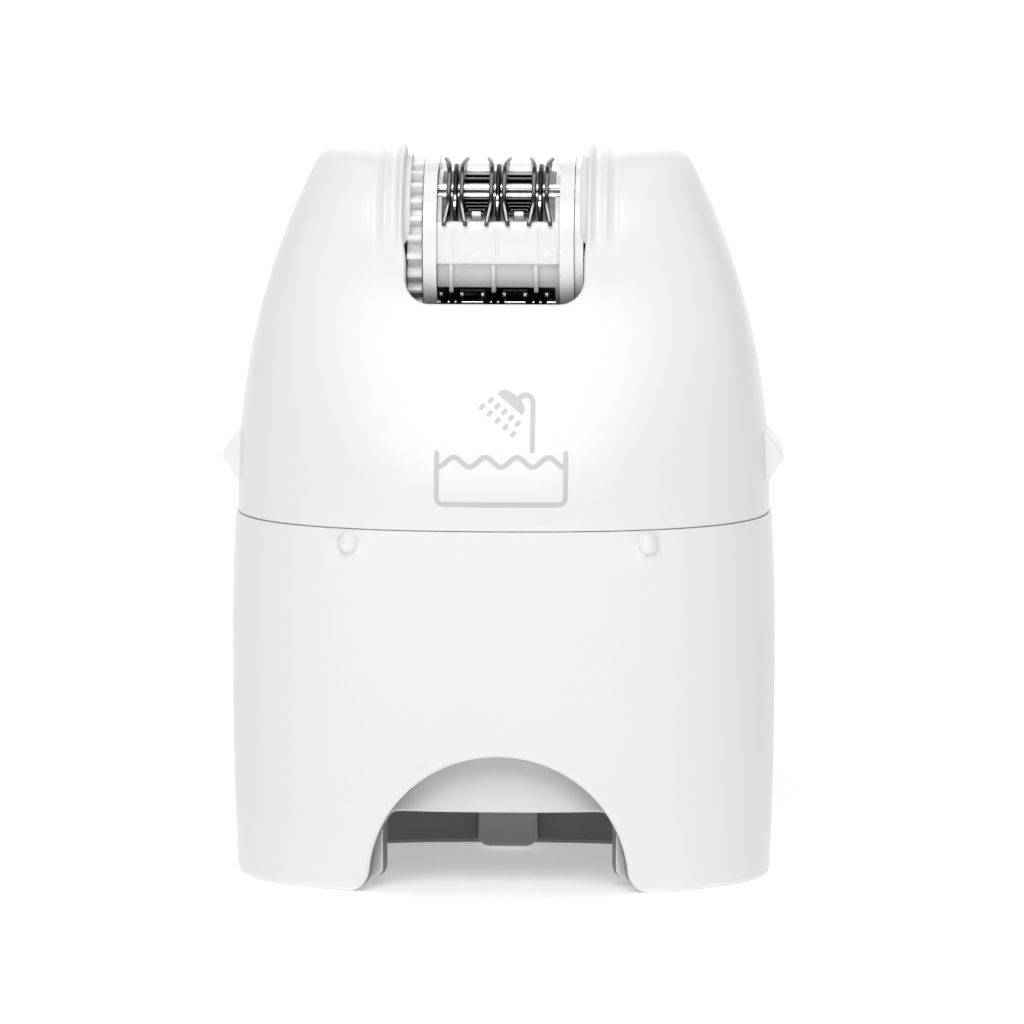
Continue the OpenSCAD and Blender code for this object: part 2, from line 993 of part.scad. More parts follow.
// Crown gear: rack-shaped teeth that face the drive pinion
module crown_gear() {
    root_x = crown_x - gear_m * dedendum;
    tip_x = crown_x + gear_m * addendum;
    slope = tan(press_angle);
    half = PI * gear_m / 4 - crown_thin;
    root_half = half + (crown_x - root_x) * slope;
    tip_half = half - (tip_x - crown_x) * slope;
    disc_x = root_x - crown_disc_t;
    color(ivory)
        difference() {
            union() {
                along_x(disc_x, crown_disc_t, lay_z)
                    circle(crown_r + crown_face / 2);
                along_x(drum_left + gear_w, disc_x - drum_left - gear_w + EPS, lay_z)
                    circle(2.5);
                for (i = [0 : crown_teeth - 1])
                    translate([0, 0, lay_z])
                        rotate([360 * i / crown_teeth, 0, 0])
                            translate([0, 0, -crown_r - crown_face / 2])
                                linear_extrude(crown_face)
                                    polygon([
                                        [root_x - EPS, -root_half], [tip_x, -tip_half],
                                        [tip_x, tip_half], [root_x - EPS, root_half]
                                    ]);
            }
            along_x(drum_left, 20, lay_z)
                circle(pin_r, $fn = 32);
        }
}

module layshaft_clip() {
    color(bright_steel)
        along_x(post_x + post_t + 0.1, 0.5, lay_z)
            difference() {
                circle(2);
                circle(pin_r, $fn = 32);
                wedge(-120, -60);
            }
}

// Drive from the handle

module drive_bushes() {
    color(brass)
        for (z = [ledge_z, tower_top - 3.5])
            translate([0, 0, z])
                difference() {
                    cylinder(r = bush_r, h = 3.5);
                    translate([0, 0, -1])
                        cylinder(r = shaft_r + run_gap, h = 6);
                }
}

module drive_seal() {
    color(rubber)
        translate([0, 0, ledge_z + 4.6])
            rotate_extrude()
                translate([(bush_r + shaft_r) / 2 + 0.02, 0])
                    circle((bush_r - shaft_r) / 2 - 0.05, $fn = 24);
}

module drive_shaft() {
    color(bright_steel)
        translate([0, 0, socket_top])
            cylinder(r = shaft_r, h = pinion_z + 2.2 - socket_top);
}

module drive_pinion() {
    color(ivory)
        difference() {
            union() {
                translate([0, 0, pinion_z - crown_face])
                    linear_extrude(2 * crown_face)
                        gear_outline(pinion_teeth, 180 + 180 / pinion_teeth);
                translate([0, 0, tower_top + 0.1])
                    cylinder(r = 2.4, h = pinion_z - crown_face - tower_top - 0.1 + EPS);
            }
            translate([0, 0, tower_top - 1])
                cylinder(r = shaft_r, h = 10);
        }
}

module drive_clip() {
    color(bright_steel)
        translate([0, 0, pinion_z + crown_face + 0.1])
            linear_extrude(0.5)
                difference() {
                    circle(2.2);
                    circle(shaft_r);
                    wedge(60, 120);
                }
}

// Socket for the handle's drive spindle, with two dog slots in its rim
module drive_coupling() {
    top = ledge_z - 0.3;
    color(ivory)
        difference() {
            translate([0, 0, coupling_z])
                cylinder(r = coupling_r, h = top - coupling_z);
            translate([0, 0, coupling_z - 1])
                cylinder(r = socket_r, h = socket_top - coupling_z + 1);
            translate([0, 0, socket_top - EPS])
                cylinder(r = shaft_r, h = 5);
            for (turn = [0, 180])
                rotate(turn)
                    translate([socket_r + 0.2, -0.6, coupling_z - 1])
                        cube([3, 1.2, 2.2]);
        }
}

lower_casing();
inner_sleeve();
sleeve_screws();
chassis_deck();
deck_screws();
gear_side_wall();
far_side_wall();
layshaft_post();
drum_axle();
drum_washers();
idler_pin();
closing_cam();
drive_bushes();
drive_seal();
upper_frame();
release_button_left();
release_button_right();
button_spring_left();
button_spring_right();
drum_barrel();
drum_gear();
drum_flange_left();
drum_flange_right();
drum_hub_ring();
row_1_fixed_blades();
row_2_fixed_blades();
row_3_fixed_blades();
row_1_moving_plates();
row_2_moving_plates();
row_3_moving_plates();
row_1_webs();
row_2_webs();
row_3_webs();
row_1_push_rods();
row_2_push_rods();
row_3_push_rods();
idler_gear();
layshaft();
lay_gear();
crown_gear();
layshaft_clip();
drive_shaft();
drive_pinion();
drive_coupling();
drive_clip();
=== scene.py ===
import json
import math

import bmesh
import bpy
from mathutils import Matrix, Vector

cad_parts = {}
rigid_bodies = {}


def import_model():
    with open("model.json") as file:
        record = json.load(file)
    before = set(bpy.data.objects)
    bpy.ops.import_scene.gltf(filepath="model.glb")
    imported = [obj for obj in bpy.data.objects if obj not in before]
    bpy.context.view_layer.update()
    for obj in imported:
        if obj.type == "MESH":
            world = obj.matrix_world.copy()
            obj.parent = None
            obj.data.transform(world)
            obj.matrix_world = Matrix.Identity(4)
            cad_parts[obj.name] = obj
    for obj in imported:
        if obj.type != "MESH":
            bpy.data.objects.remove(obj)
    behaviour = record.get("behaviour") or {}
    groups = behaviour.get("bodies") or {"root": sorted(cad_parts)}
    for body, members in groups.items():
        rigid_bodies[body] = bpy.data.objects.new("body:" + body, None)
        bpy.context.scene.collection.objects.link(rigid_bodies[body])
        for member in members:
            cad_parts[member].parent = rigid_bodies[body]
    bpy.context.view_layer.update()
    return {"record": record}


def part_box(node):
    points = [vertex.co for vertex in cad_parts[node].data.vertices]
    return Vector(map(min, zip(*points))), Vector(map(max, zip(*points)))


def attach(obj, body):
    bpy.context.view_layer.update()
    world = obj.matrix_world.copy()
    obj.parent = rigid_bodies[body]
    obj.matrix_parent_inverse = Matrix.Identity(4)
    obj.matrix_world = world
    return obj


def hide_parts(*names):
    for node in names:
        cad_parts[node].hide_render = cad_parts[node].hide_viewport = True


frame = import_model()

MM = 0.001
X, Y, Z = 0, 1, 2


def span(node, axis):
    """Lowest and highest coordinate of a CAD node on one axis, in millimetres."""
    low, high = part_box(node)
    return round(low[axis] / MM, 2), round(high[axis] / MM, 2)


# ---------------------------------------------------------------- places from the frame, mm
SKIRT_W, SKIRT_D = 2 * span("lower_casing", X)[1], 2 * span("lower_casing", Y)[1]
FRAME_BOTTOM = span("upper_frame", Z)[0]
AXIS = sum(span("drum_axle", Z)) / 2
DRUM_L, DRUM_R = span("drum_gear", X)[0], span("drum_hub_ring", X)[1]
BARREL_L, BARREL_R = span("drum_barrel", X)
BUTTON_IN, BUTTON_TIP = span("release_button_right", X)
BUTTON_LOW, BUTTON_HIGH = span("release_button_right", Z)

# ---------------------------------------------------------------- shape details, mm
SEAM_GAP, SEAM_R, SEAM_LIFT = 0.15, 0.1, 0.07
SEAM = FRAME_BOTTOM - SEAM_GAP
SKIRT_N, SKIRT_WALL, SKIRT_EDGE = 2.4, 1.8, 0.55
SKIRT_MID = 24.0
ARCH_R, ARCH_Z, ARCH_CORNER = 13.3, 1.0, 1.6
STUD_X, STUD_R, STUD_H = 15.2, 1.13, 1.04
KEY_W, KEY_NEAR, KEY_FAR, KEY_TOP = 3.1, 10.6, 15.4, 17.2
SLEEVE_A, SLEEVE_B, SLEEVE_N, SLEEVE_TOP, SLEEVE_WALL, SLEEVE_EDGE = 21.5, 13.4, 2.6, 19.7, 1.6, 0.3
DOME_R = 9.4
FRAME_WALL, FRAME_INSET, FRAME_CORNER, FRAME_SWEEP, FRAME_STRAIGHT = 1.5, 0.65, 1.2, 74.0, 40.0
FRAME_TOP = AXIS + DOME_R
WIN_X, WIN_W, WIN_Z, WIN_R, WIN_EDGE = -0.6, 18.3, 60.0, 2.5, 0.3
BORE_R = 1.7
GEAR_W, HUB_W, FLANGE_GAP = 1.55, 0.9, 0.1
FLOOR_R, RECESS_R, LOBE_R, FLANGE_R, HUB_R = 5.2, 7.2, 7.95, 8.6, 8.2
ROWS, ROW_TILT, ROW_STEP = 3, 40.7, 120.0
SLOT_LOW, SLOT_TOP, RECESS_END = 20.8, 41.7, 65.3
PITCH, ROW_SHIFT, WAIST, FLARE, PLATE_T, STROKE = 4.34, 0.4, 0.66, 0.52, 0.44, 0.2
PLATE_LOW, PLATE_HIGH = -25.3, 44.3
ROD_RING, ROD_R, WIRE_R, ROD_AT, WIRE_AT = 6.9, 0.42, 0.28, 14.6, 5.5
ROD_L, ROD_END = -7.48, 8.8
PLATE_IN, PLATE_OUT, GRIP_LEAN = 5.6, 8.65, 9.5
BLADE_HALF, NOSE_HALF = 0.22, 0.235
GEAR_M, DRUM_TEETH = 0.6, 26


# ---------------------------------------------------------------- outer surface
def smooth(u):
    """Ease from 0 to 1."""
    v = max(0.0, min(1.0, u))
    return v * v * (3 - 2 * v)


def edge_in(d, r):
    """How far a rounded edge of radius r pulls in at distance d from the end."""
    return 0.0 if d >= r else r - math.sqrt(max(0.0, r * r - (r - d) ** 2))


def skirt_a(z):
    if z > SKIRT_MID:
        drop = 0.4 * ((z - SKIRT_MID) / (SEAM - SKIRT_MID)) ** 2
    else:
        drop = 0.5 * ((SKIRT_MID - z) / SKIRT_MID) ** 2
    return SKIRT_W / 2 - drop


def skirt_b(z):
    return SKIRT_D / 2 - 1.6 * (max(0.0, SEAM - z) / SEAM) ** 1.5


def frame_a(z):
    rise = max(0.0, z - FRAME_STRAIGHT)
    side = FRAME_SWEEP - math.sqrt(FRAME_SWEEP ** 2 - rise ** 2)
    return SKIRT_W / 2 - FRAME_INSET - side - edge_in(FRAME_TOP - z, FRAME_CORNER)


def frame_b(z):
    if z >= AXIS:
        return math.sqrt(max(0.0, DOME_R ** 2 - (z - AXIS) ** 2))
    foot = SKIRT_D / 2 - 0.1
    return DOME_R + (foot - DOME_R) * (1 - smooth((z - SEAM) / (AXIS - SEAM)))


def frame_n(z):
    return SKIRT_N + 0.8 * smooth((z - FRAME_STRAIGHT) / 20)


def oval_point(a, b, n, t):
    c, s = math.cos(t), math.sin(t)
    return (a * math.copysign(abs(c) ** (2 / n), c), b * math.copysign(abs(s) ** (2 / n), s))


def oval_angle(x, a, n):
    """Angle in the first quadrant at which the oval reaches x."""
    return math.acos(max(0.0, min(1.0, (x / a))) ** (n / 2))


def oval_depth(x, a, b, n):
    return b * max(0.0, 1 - min(1.0, abs(x) / a) ** n) ** (1 / n)


# ---------------------------------------------------------------- mesh helpers
def make(name, verts, faces, mat, body, slot, sharp=35, replaces=()):
    """A mesh piece from points in millimetres."""
    mesh = bpy.data.meshes.new(name)
    mesh.from_pydata([(v[0] * MM, v[1] * MM, v[2] * MM) for v in verts], [], faces)
    mesh.validate()
    mesh.update()
    for p in mesh.polygons:
        p.use_smooth = True
    mesh.set_sharp_from_angle(angle=math.radians(sharp))
    ob = bpy.data.objects.new(name, mesh)
    bpy.context.scene.collection.objects.link(ob)
    mesh.materials.append(mat)
    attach(ob, body)
    if replaces:
        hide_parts(*replaces)
    return ob


def bevel(ob, width, segments=3, angle=40):
    mod = ob.modifiers.new("edge", "BEVEL")
    mod.width = width * MM
    mod.segments = segments
    mod.limit_method = "ANGLE"
    mod.angle_limit = math.radians(angle)
    mod.harden_normals = True
    return ob


class Parts:
    """Collects several closed shells into one mesh."""

    def __init__(self):
        self.v, self.f = [], []

    def loft(self, sections):
        base, m, s = len(self.v), len(sections), len(sections[0])
        for sec in sections:
            self.v.extend(sec)
        self.f.append([base + i for i in range(s)][::-1])
        self.f.append([base + (m - 1) * s + i for i in range(s)])
        for k in range(m - 1):
            for i in range(s):
                j = (i + 1) % s
                a, b = base + k * s, base + (k + 1) * s
                self.f.append([a + i, a + j, b + j, b + i])

    def ring(self, sections):
        """Closed loop of closed sections, such as a turned ring."""
        base, m, s = len(self.v), len(sections), len(sections[0])
        for sec in sections:
            self.v.extend(sec)
        for k in range(m):
            for i in range(s):
                j = (i + 1) % s
                a, b = base + k * s, base + ((k + 1) % m) * s
                self.f.append([a + i, a + j, b + j, b + i])

    def prism_x(self, outline, x0, x1, z0=AXIS):
        """Outline of (front, up) points from the axis, pushed along X."""
        self.loft([[(x, -u, z0 + v) for u, v in outline] for x in (x1, x0)])

    def make(self, name, *args, **kw):
        ob = make(name, self.v, self.f, *args, **kw)
        bm_fix(ob)
        return ob


def bm_fix(ob):
    """Turns every face outward."""
    bm = bmesh.new()
    bm.from_mesh(ob.data)
    bmesh.ops.recalc_face_normals(bm, faces=bm.faces)
    bm.to_mesh(ob.data)
    bm.free()


def polar(r, deg):
    a = math.radians(deg)
    return (r * math.cos(a), r * math.sin(a))


def arc(r, a0, a1, step=1.5):
    n = max(2, int(abs(a1 - a0) / step) + 1)
    return [polar(r, a0 + (a1 - a0) * i / n) for i in range(n + 1)]


def sector(r0, r1, a0, a1):
    return arc(r1, a0, a1) + arc(r0, a1, a0)


def turned_x(parts, profile, count=144, z0=AXIS):
    """Closed (x, r) profile turned round the X axis."""
    secs = []
    for k in range(count):
        a = 2 * math.pi * k / count
        secs.append([(x, -r * math.cos(a), z0 + r * math.sin(a)) for x, r in profile])
    parts.ring(secs)


def rounded_profile(x0, x1, r0, r1, fillet, steps=4):
    """Ring profile with both outer edges rounded."""
    pts = [(x0, r0)]
    for i in range(steps + 1):
        a = math.pi / 2 * i / steps
        pts.append((x0 + fillet * (1 - math.sin(a)), r1 - fillet + fillet * math.sin(a)))
    for i in range(steps + 1):
        a = math.pi / 2 * i / steps
        pts.append((x1 - fillet * (1 - math.cos(a)), r1 - fillet + fillet * math.cos(a)))
    pts.append((x1, r0))
    return pts


# ---------------------------------------------------------------- materials
def plastic(name, colour, rough, mottle, grain, bump, coat=0.0):
    """Moulded plastic: slight tone and gloss variation, and a fine grain."""
    mat = bpy.data.materials.new(name)
    mat.use_nodes = True
    nt = mat.node_tree
    bsdf = nt.nodes["Principled BSDF"]
    coords = nt.nodes.new("ShaderNodeTexCoord")

    def noise(scale, detail, low, high, stops):
        tex = nt.nodes.new("ShaderNodeTexNoise")
        tex.inputs["Scale"].default_value = scale
        tex.inputs["Detail"].default_value = detail
        nt.links.new(coords.outputs["Object"], tex.inputs["Vector"])
        ramp = nt.nodes.new("ShaderNodeValToRGB")
        ramp.color_ramp.elements[0].position = stops[0]
        ramp.color_ramp.elements[1].position = stops[1]
        ramp.color_ramp.elements[0].color = low
        ramp.color_ramp.elements[1].color = high
        nt.links.new(tex.outputs["Fac"], ramp.inputs["Fac"])
        return tex, ramp

    low = tuple(max(0.0, c - mottle) for c in colour) + (1,)
    high = tuple(min(1.0, c + mottle) for c in colour) + (1,)
    _, tone = noise(60.0, 2.0, low, high, (0.2, 0.8))
    nt.links.new(tone.outputs["Color"], bsdf.inputs["Base Color"])
    _, gloss = noise(500.0, 2.0, (rough - 0.03,) * 3 + (1,), (rough + 0.03,) * 3 + (1,), (0.2, 0.8))
    nt.links.new(gloss.outputs["Color"], bsdf.inputs["Roughness"])
    tex, _ = noise(grain, 2.0, (0, 0, 0, 1), (1, 1, 1, 1), (0.4, 0.6))
    bmp = nt.nodes.new("ShaderNodeBump")
    bmp.inputs["Strength"].default_value = bump
    bmp.inputs["Distance"].default_value = 0.00001
    nt.links.new(tex.outputs["Fac"], bmp.inputs["Height"])
    nt.links.new(bmp.outputs["Normal"], bsdf.inputs["Normal"])
    bsdf.inputs["IOR"].default_value = 1.5
    bsdf.inputs["Coat Weight"].default_value = coat
    bsdf.inputs["Coat Roughness"].default_value = 0.12
    return mat


def metal(name, colour, rough):
    """Ground or polished metal with fine streaks across the stretched axes."""
    mat = bpy.data.materials.new(name)
    mat.use_nodes = True
    nt = mat.node_tree
    bsdf = nt.nodes["Principled BSDF"]
    bsdf.inputs["Metallic"].default_value = 1.0
    coords = nt.nodes.new("ShaderNodeTexCoord")
    place = nt.nodes.new("ShaderNodeMapping")
    place.inputs["Scale"].default_value = (40.0, 2500.0, 2500.0)
    nt.links.new(coords.outputs["Object"], place.inputs["Vector"])
    tex = nt.nodes.new("ShaderNodeTexNoise")
    tex.inputs["Scale"].default_value = 1.0
    tex.inputs["Detail"].default_value = 3.0
    nt.links.new(place.outputs["Vector"], tex.inputs["Vector"])
    tone = nt.nodes.new("ShaderNodeValToRGB")
    tone.color_ramp.elements[0].position = 0.3
    tone.color_ramp.elements[1].position = 0.7
    tone.color_ramp.elements[0].color = tuple(c * 0.8 for c in colour) + (1,)
    tone.color_ramp.elements[1].color = tuple(min(1.0, c * 1.15) for c in colour) + (1,)
    nt.links.new(tex.outputs["Fac"], tone.inputs["Fac"])
    nt.links.new(tone.outputs["Color"], bsdf.inputs["Base Color"])
    gloss = nt.nodes.new("ShaderNodeMapRange")
    gloss.inputs["To Min"].default_value = rough - 0.03
    gloss.inputs["To Max"].default_value = rough + 0.03
    nt.links.new(tex.outputs["Fac"], gloss.inputs["Value"])
    nt.links.new(gloss.outputs["Result"], bsdf.inputs["Roughness"])
    bmp = nt.nodes.new("ShaderNodeBump")
    bmp.inputs["Strength"].default_value = 0.04
    bmp.inputs["Distance"].default_value = 0.00003
    nt.links.new(tex.outputs["Fac"], bmp.inputs["Height"])
    nt.links.new(bmp.outputs["Normal"], bsdf.inputs["Normal"])
    return mat


SHELL = plastic("shell_white", (0.86, 0.86, 0.85), 0.34, mottle=0.004, grain=2200.0, bump=0.25)
DRUM = plastic("drum_white", (0.88, 0.88, 0.87), 0.26, mottle=0.004, grain=2000.0, bump=0.2, coat=0.15)
# Dark plastic for the faces inside the well: painted shade of the deep cavity, not a colour of the part
WELL_SHADE = plastic("well_plastic", (0.19, 0.185, 0.175), 0.4, mottle=0.012, grain=1800.0, bump=0.4)
# Grey plastic for the rear key: painted shade of the well it stands in, not a colour of the part
KEY_SHADE = plastic("key_plastic", (0.42, 0.415, 0.4), 0.4, mottle=0.01, grain=1800.0, bump=0.4)
INNER = plastic("inner_white", (0.78, 0.78, 0.765), 0.42, mottle=0.008, grain=1800.0, bump=0.4)
PRINT = plastic("print_ink", (0.6, 0.6, 0.59), 0.45, mottle=0.03, grain=3000.0, bump=0.08)
SEAL = plastic("seal_rubber", (0.03, 0.03, 0.03), 0.6, mottle=0.01, grain=2500.0, bump=0.15)
TWEEZER = metal("tweezer_steel", (0.15, 0.145, 0.14), 0.16)
BLADE = metal("blade_steel", (0.045, 0.044, 0.042), 0.3)
BRIGHT = metal("bright_steel", (0.8, 0.8, 0.81), 0.12)
BRASS = metal("brass", (0.75, 0.55, 0.25), 0.28)
BY_SLOT = {
    "white_shell": SHELL, "white_drum": DRUM, "inner_plastic": INNER, "print_grey": PRINT,
    "rubber_seal": SEAL, "tweezer_steel": TWEEZER, "bright_steel": BRIGHT,
    "brass_bearing": BRASS,
}


# ---------------------------------------------------------------- shells
def rim_profile(thick, r_out, r_in, steps=5):
    """(depth under the surface, reach past the edge) from the outer to the inner face."""
    pts = []
    for i in range(1, steps + 1):
        a = math.pi / 2 * i / steps
        pts.append((r_out * (1 - math.cos(a)), r_out * math.sin(a)))
    for i in range(steps + 1):
        a = math.pi / 2 * i / steps
        pts.append((thick - r_in + r_in * math.sin(a), r_out - r_in * (1 - math.cos(a))))
    return pts


def shell_from_grid(name, outer, faces, loops, thick, profile, mat, body, slot, replaces=(),
                    seam=None):
    """Closed shell: the outer grid, an inner copy one wall deeper, and rounded rims.

    outer is a list of points, faces are quads wound outward, and loops are the lists of
    point numbers round each open edge, wound so that the surface lies on their left.
    An edge at the seam takes the profile in seam, where one is given.
    """
    mesh = bpy.data.meshes.new("tmp")
    mesh.from_pydata(outer, [], faces)
    mesh.update()
    normals = [Vector(n.vector) for n in mesh.vertex_normals]
    bpy.data.meshes.remove(mesh)
    pts = [Vector(p) for p in outer]
    n = len(pts)
    verts = list(pts) + [p - nn * thick for p, nn in zip(pts, normals)]
    out = [list(f) for f in faces] + [[i + n for i in reversed(f)] for f in faces]
    for loop in loops:
        m = len(loop)
        edge_dir = []
        for k in range(m):
            t = pts[loop[(k + 1) % m]] - pts[loop[k - 1]]
            e = t.cross(normals[loop[k]])
            edge_dir.append(e.normalized() if e.length > 1e-9 else Vector((0, 0, -1)))
        rows = [list(loop)]
        at_seam = seam and all(abs(pts[i].z - SEAM) < 1.0 for i in loop)
        for d, h in seam if at_seam else profile:
            base = len(verts)
            for k in range(m):
                i = loop[k]
                verts.append(pts[i] - normals[i] * d + edge_dir[k] * h)
            rows.append(list(range(base, base + m)))
        rows.append([i + n for i in loop])
        for r in range(len(rows) - 1):
            a, b = rows[r], rows[r + 1]
            for k in range(m):
                j = (k + 1) % m
                out.append([a[k], b[k], b[j], a[j]])
    ob = make(name, verts, out, mat, body, slot, sharp=50, replaces=replaces)
    bm_fix(ob)
    return ob


def mirrored(curve):
    """Evenly spaced points of a mirrored edge curve given from the middle outward."""
    return [(-x, z) for x, z in reversed(curve[1:])] + list(curve)


def resample(poly, step):
    """Points along a polyline, about one step apart."""
    out = [poly[0]]
    carry = 0.0
    for (x0, z0), (x1, z1) in zip(poly, poly[1:]):
        seg = math.hypot(x1 - x0, z1 - z0)
        d = step - carry
        while d <= seg:
            out.append((x0 + (x1 - x0) * d / seg, z0 + (z1 - z0) * d / seg))
            d += step
        carry = seg - (d - step)
    out.append(poly[-1])
    return out


def skirt_shell(name, a_at, b_at, n, z_top, edge, x_top, thick, profile, levels, mat, slot,
                replaces=(), seam=None):
    """Oval shell whose lower edge rises into an opening at the front.

    edge runs from the middle outward as (x, z), and ends on the flat lower edge.
    """
    front = mirrored(edge)
    x_end, z_flat = edge[-1]
    total = len(edge) - 1
    cols = []
    for i, (x, z) in enumerate(front):
        share = (i - total) / total
        t_low = oval_angle(abs(x), a_at(z), n)
        t_top = oval_angle(abs(share) * x_top, a_at(z_top), n)
        sgn = 1 if share >= 0 else -1
        # front is at -90 degrees; the angle grows towards +X
        low = -t_low if sgn > 0 else -(math.pi - t_low)
        top = -t_top if sgn > 0 else -(math.pi - t_top)
        cols.append((low, top, z))
    low0, top0 = cols[-1][0], cols[-1][1]
    low1, top1 = cols[0][0] + 2 * math.pi, cols[0][1] + 2 * math.pi
    count = 150
    for i in range(1, count):
        u = i / count
        cols.append((low0 + (low1 - low0) * u, top0 + (top1 - top0) * u, z_flat))
    pts, m = [], len(cols)
    for s in levels:
        for low, top, z_low in cols:
            z = z_low + (z_top - z_low) * s
            t = low + (top - low) * s
            x, y = oval_point(a_at(z), b_at(z), n, t)
            pts.append((x, y, z))
    faces = []
    for r in range(len(levels) - 1):
        for k in range(m):
            j = (k + 1) % m
            faces.append((r * m + k, r * m + j, (r + 1) * m + j, (r + 1) * m + k))
    bottom = list(range(m))
    top_loop = [(len(levels) - 1) * m + k for k in range(m)][::-1]
    return shell_from_grid(name, pts, faces, [bottom, top_loop], thick, profile, mat, "housing",
                           slot, replaces, seam)


def even(count):
    """Levels from 0 to 1, closer together at both ends."""
    return [0.5 - 0.5 * math.cos(math.pi * i / count) for i in range(count + 1)]


# Skirt with the arch
arch = [(0.0, ARCH_Z + ARCH_R + SKIRT_EDGE)]
for i in range(1, 41):
    a = math.pi / 2 - (math.pi / 2 - math.radians(7)) * i / 40
    arch.append(((ARCH_R + SKIRT_EDGE) * math.cos(a), ARCH_Z + (ARCH_R + SKIRT_EDGE) * math.sin(a)))
cx, cz = arch[-1][0] + ARCH_CORNER, arch[-1][1]
for i in range(1, 11):
    a = math.pi + math.pi / 2 * i / 10
    arch.append((cx + ARCH_CORNER * math.cos(a), max(SKIRT_EDGE, cz + (cz - SKIRT_EDGE) * math.sin(a))))
skirt = skirt_shell(
    "skirt", skirt_a, skirt_b, SKIRT_N, SEAM + SEAM_LIFT - SEAM_R, resample(arch, 0.42), 18.0, SKIRT_WALL,
    rim_profile(SKIRT_WALL, SKIRT_EDGE, 0.35), even(34), SHELL, "white_shell",
    replaces=("lower_casing",), seam=rim_profile(SKIRT_WALL, SEAM_R, SEAM_R))

# Spigot that stands up inside the frame
neck_a = SKIRT_W / 2 - FRAME_INSET - FRAME_WALL - 0.2
neck_b = SKIRT_D / 2 - 0.1 - FRAME_WALL - 0.2
spigot = Parts()
secs = []
for k in range(160):
    t = 2 * math.pi * k / 160
    prof = [(0, 34.2), (0, 40.2), (0.3, 40.5), (0.9, 40.5), (1.2, 40.2), (1.2, 34.2)]
    row = []
    for inset, z in prof:
        x, y = oval_point(neck_a - inset, neck_b - inset, SKIRT_N, t)
        row.append((x, y, z))
    secs.append(row)
spigot.ring(secs)
# ledge that carries the deck
secs = []
for k in range(160):
    t = 2 * math.pi * k / 160
    row = []
    for inset, z in [(1.0, 16.5), (3.5, 17.8), (3.5, 20.0), (1.0, 20.0)]:
        x, y = oval_point(SKIRT_W / 2 - inset, skirt_b(19) - inset, SKIRT_N, t)
        row.append((x, y, z))
    secs.append(row)
spigot.ring(secs)
spigot.make("skirt_spigot", SHELL, "housing", "white_shell", sharp=30)

# Rear key, in the grey material: painted shade of the well around it
key = Parts()
half_key = [(2.0, 0.4), (2.6, 0.6), (KEY_W, 1.2), (KEY_W, KEY_TOP)]
outline = [(-x, z) for x, z in reversed(half_key[:3])] + half_key + [(-KEY_W, KEY_TOP)]
key.loft([[(x, y, z) for x, z in outline] for y in (KEY_NEAR, KEY_FAR)])
bevel(key.make("rear_key", KEY_SHADE, "housing", "white_shell"), 0.25)

# Studs under the seam
for sx, side in ((-1, "left"), (1, "right")):
    x0, z0 = sx * STUD_X, SEAM - 1.2
    y0 = -oval_depth(x0, skirt_a(z0), skirt_b(z0), SKIRT_N)
    eps = 0.05
    yx = -oval_depth(x0 + eps, skirt_a(z0), skirt_b(z0), SKIRT_N)
    nrm = Vector((yx - y0, -eps, 0)).normalized()
    side_dir = Vector((0, 0, 1)).cross(nrm).normalized()
    stud = Parts()
    secs = []
    prof = [(STUD_R * math.cos(a), STUD_H * math.sin(a))
            for a in [math.radians(d) for d in range(-18, 89, 8)]]
    prof += [(0.03, STUD_H)]
    for r, h in prof:
        ring = []
        for k in range(36):
            a = 2 * math.pi * k / 36
            out_dir = side_dir * math.cos(a) + Vector((0, 0, 1)) * math.sin(a)
            p = Vector((x0, y0, z0)) + nrm * h + out_dir * r
            ring.append(tuple(p))
        secs.append(ring)
    stud.loft(secs)
    stud.make("stud_" + side, SHELL, "housing", "white_shell", sharp=60)

# Inner sleeve with its front notch
notch = [(0.0, 8.0 + SLEEVE_EDGE), (9.9, 8.0 + SLEEVE_EDGE)]
for i in range(1, 7):
    a = math.pi / 2 * (1 - i / 6)
    notch.append((9.9 + SLEEVE_EDGE + 2.0 * math.cos(a), 6.0 + SLEEVE_EDGE + 2.0 * math.sin(a)))
notch.append((11.9 + SLEEVE_EDGE, 2.2))
for i in range(1, 7):
    a = math.pi + math.pi / 2 * i / 6
    notch.append((13.1 + SLEEVE_EDGE + 1.2 * math.cos(a), 2.2 + (1.4 - SLEEVE_EDGE) * math.sin(a)))
sleeve = skirt_shell(
    "sleeve", lambda z: SLEEVE_A, lambda z: SLEEVE_B, SLEEVE_N, SLEEVE_TOP, resample(notch, 0.4), 19.0,
    SLEEVE_WALL, rim_profile(SLEEVE_WALL, SLEEVE_EDGE, SLEEVE_EDGE), even(16), INNER, "inner_plastic",
    replaces=("inner_sleeve",))

# Faces that look into the well take the dark material: painted shade of the deep cavity
for shell in (skirt, sleeve):
    shell.data.materials.append(WELL_SHADE)
    for f in shell.data.polygons:
        c = f.center
        if f.normal.x * c.x + f.normal.y * c.y < 0 and f.normal.z < 0.3:
            f.material_index = 1


# Upper frame
def ridge_height(x, z):
    """Skin ridges beside the window, with a groove and a low hump outside them."""
    left, right = WIN_X - WIN_W / 2, WIN_X + WIN_W / 2
    d = left - x if x < 0 else x - right
    if d < -0.5:
        return 0.0

    def hump(mid, half, high):
        return high * (1 - smooth(abs(d - mid) / half))

    h = hump(0.5, 0.55, 0.5) + hump(2.1, 0.5, 0.2)
    h -= hump(1.3, 0.5, 0.22) + hump(3.1, 0.8, 0.22)
    return h * smooth((z - 64.6) / 3.0)


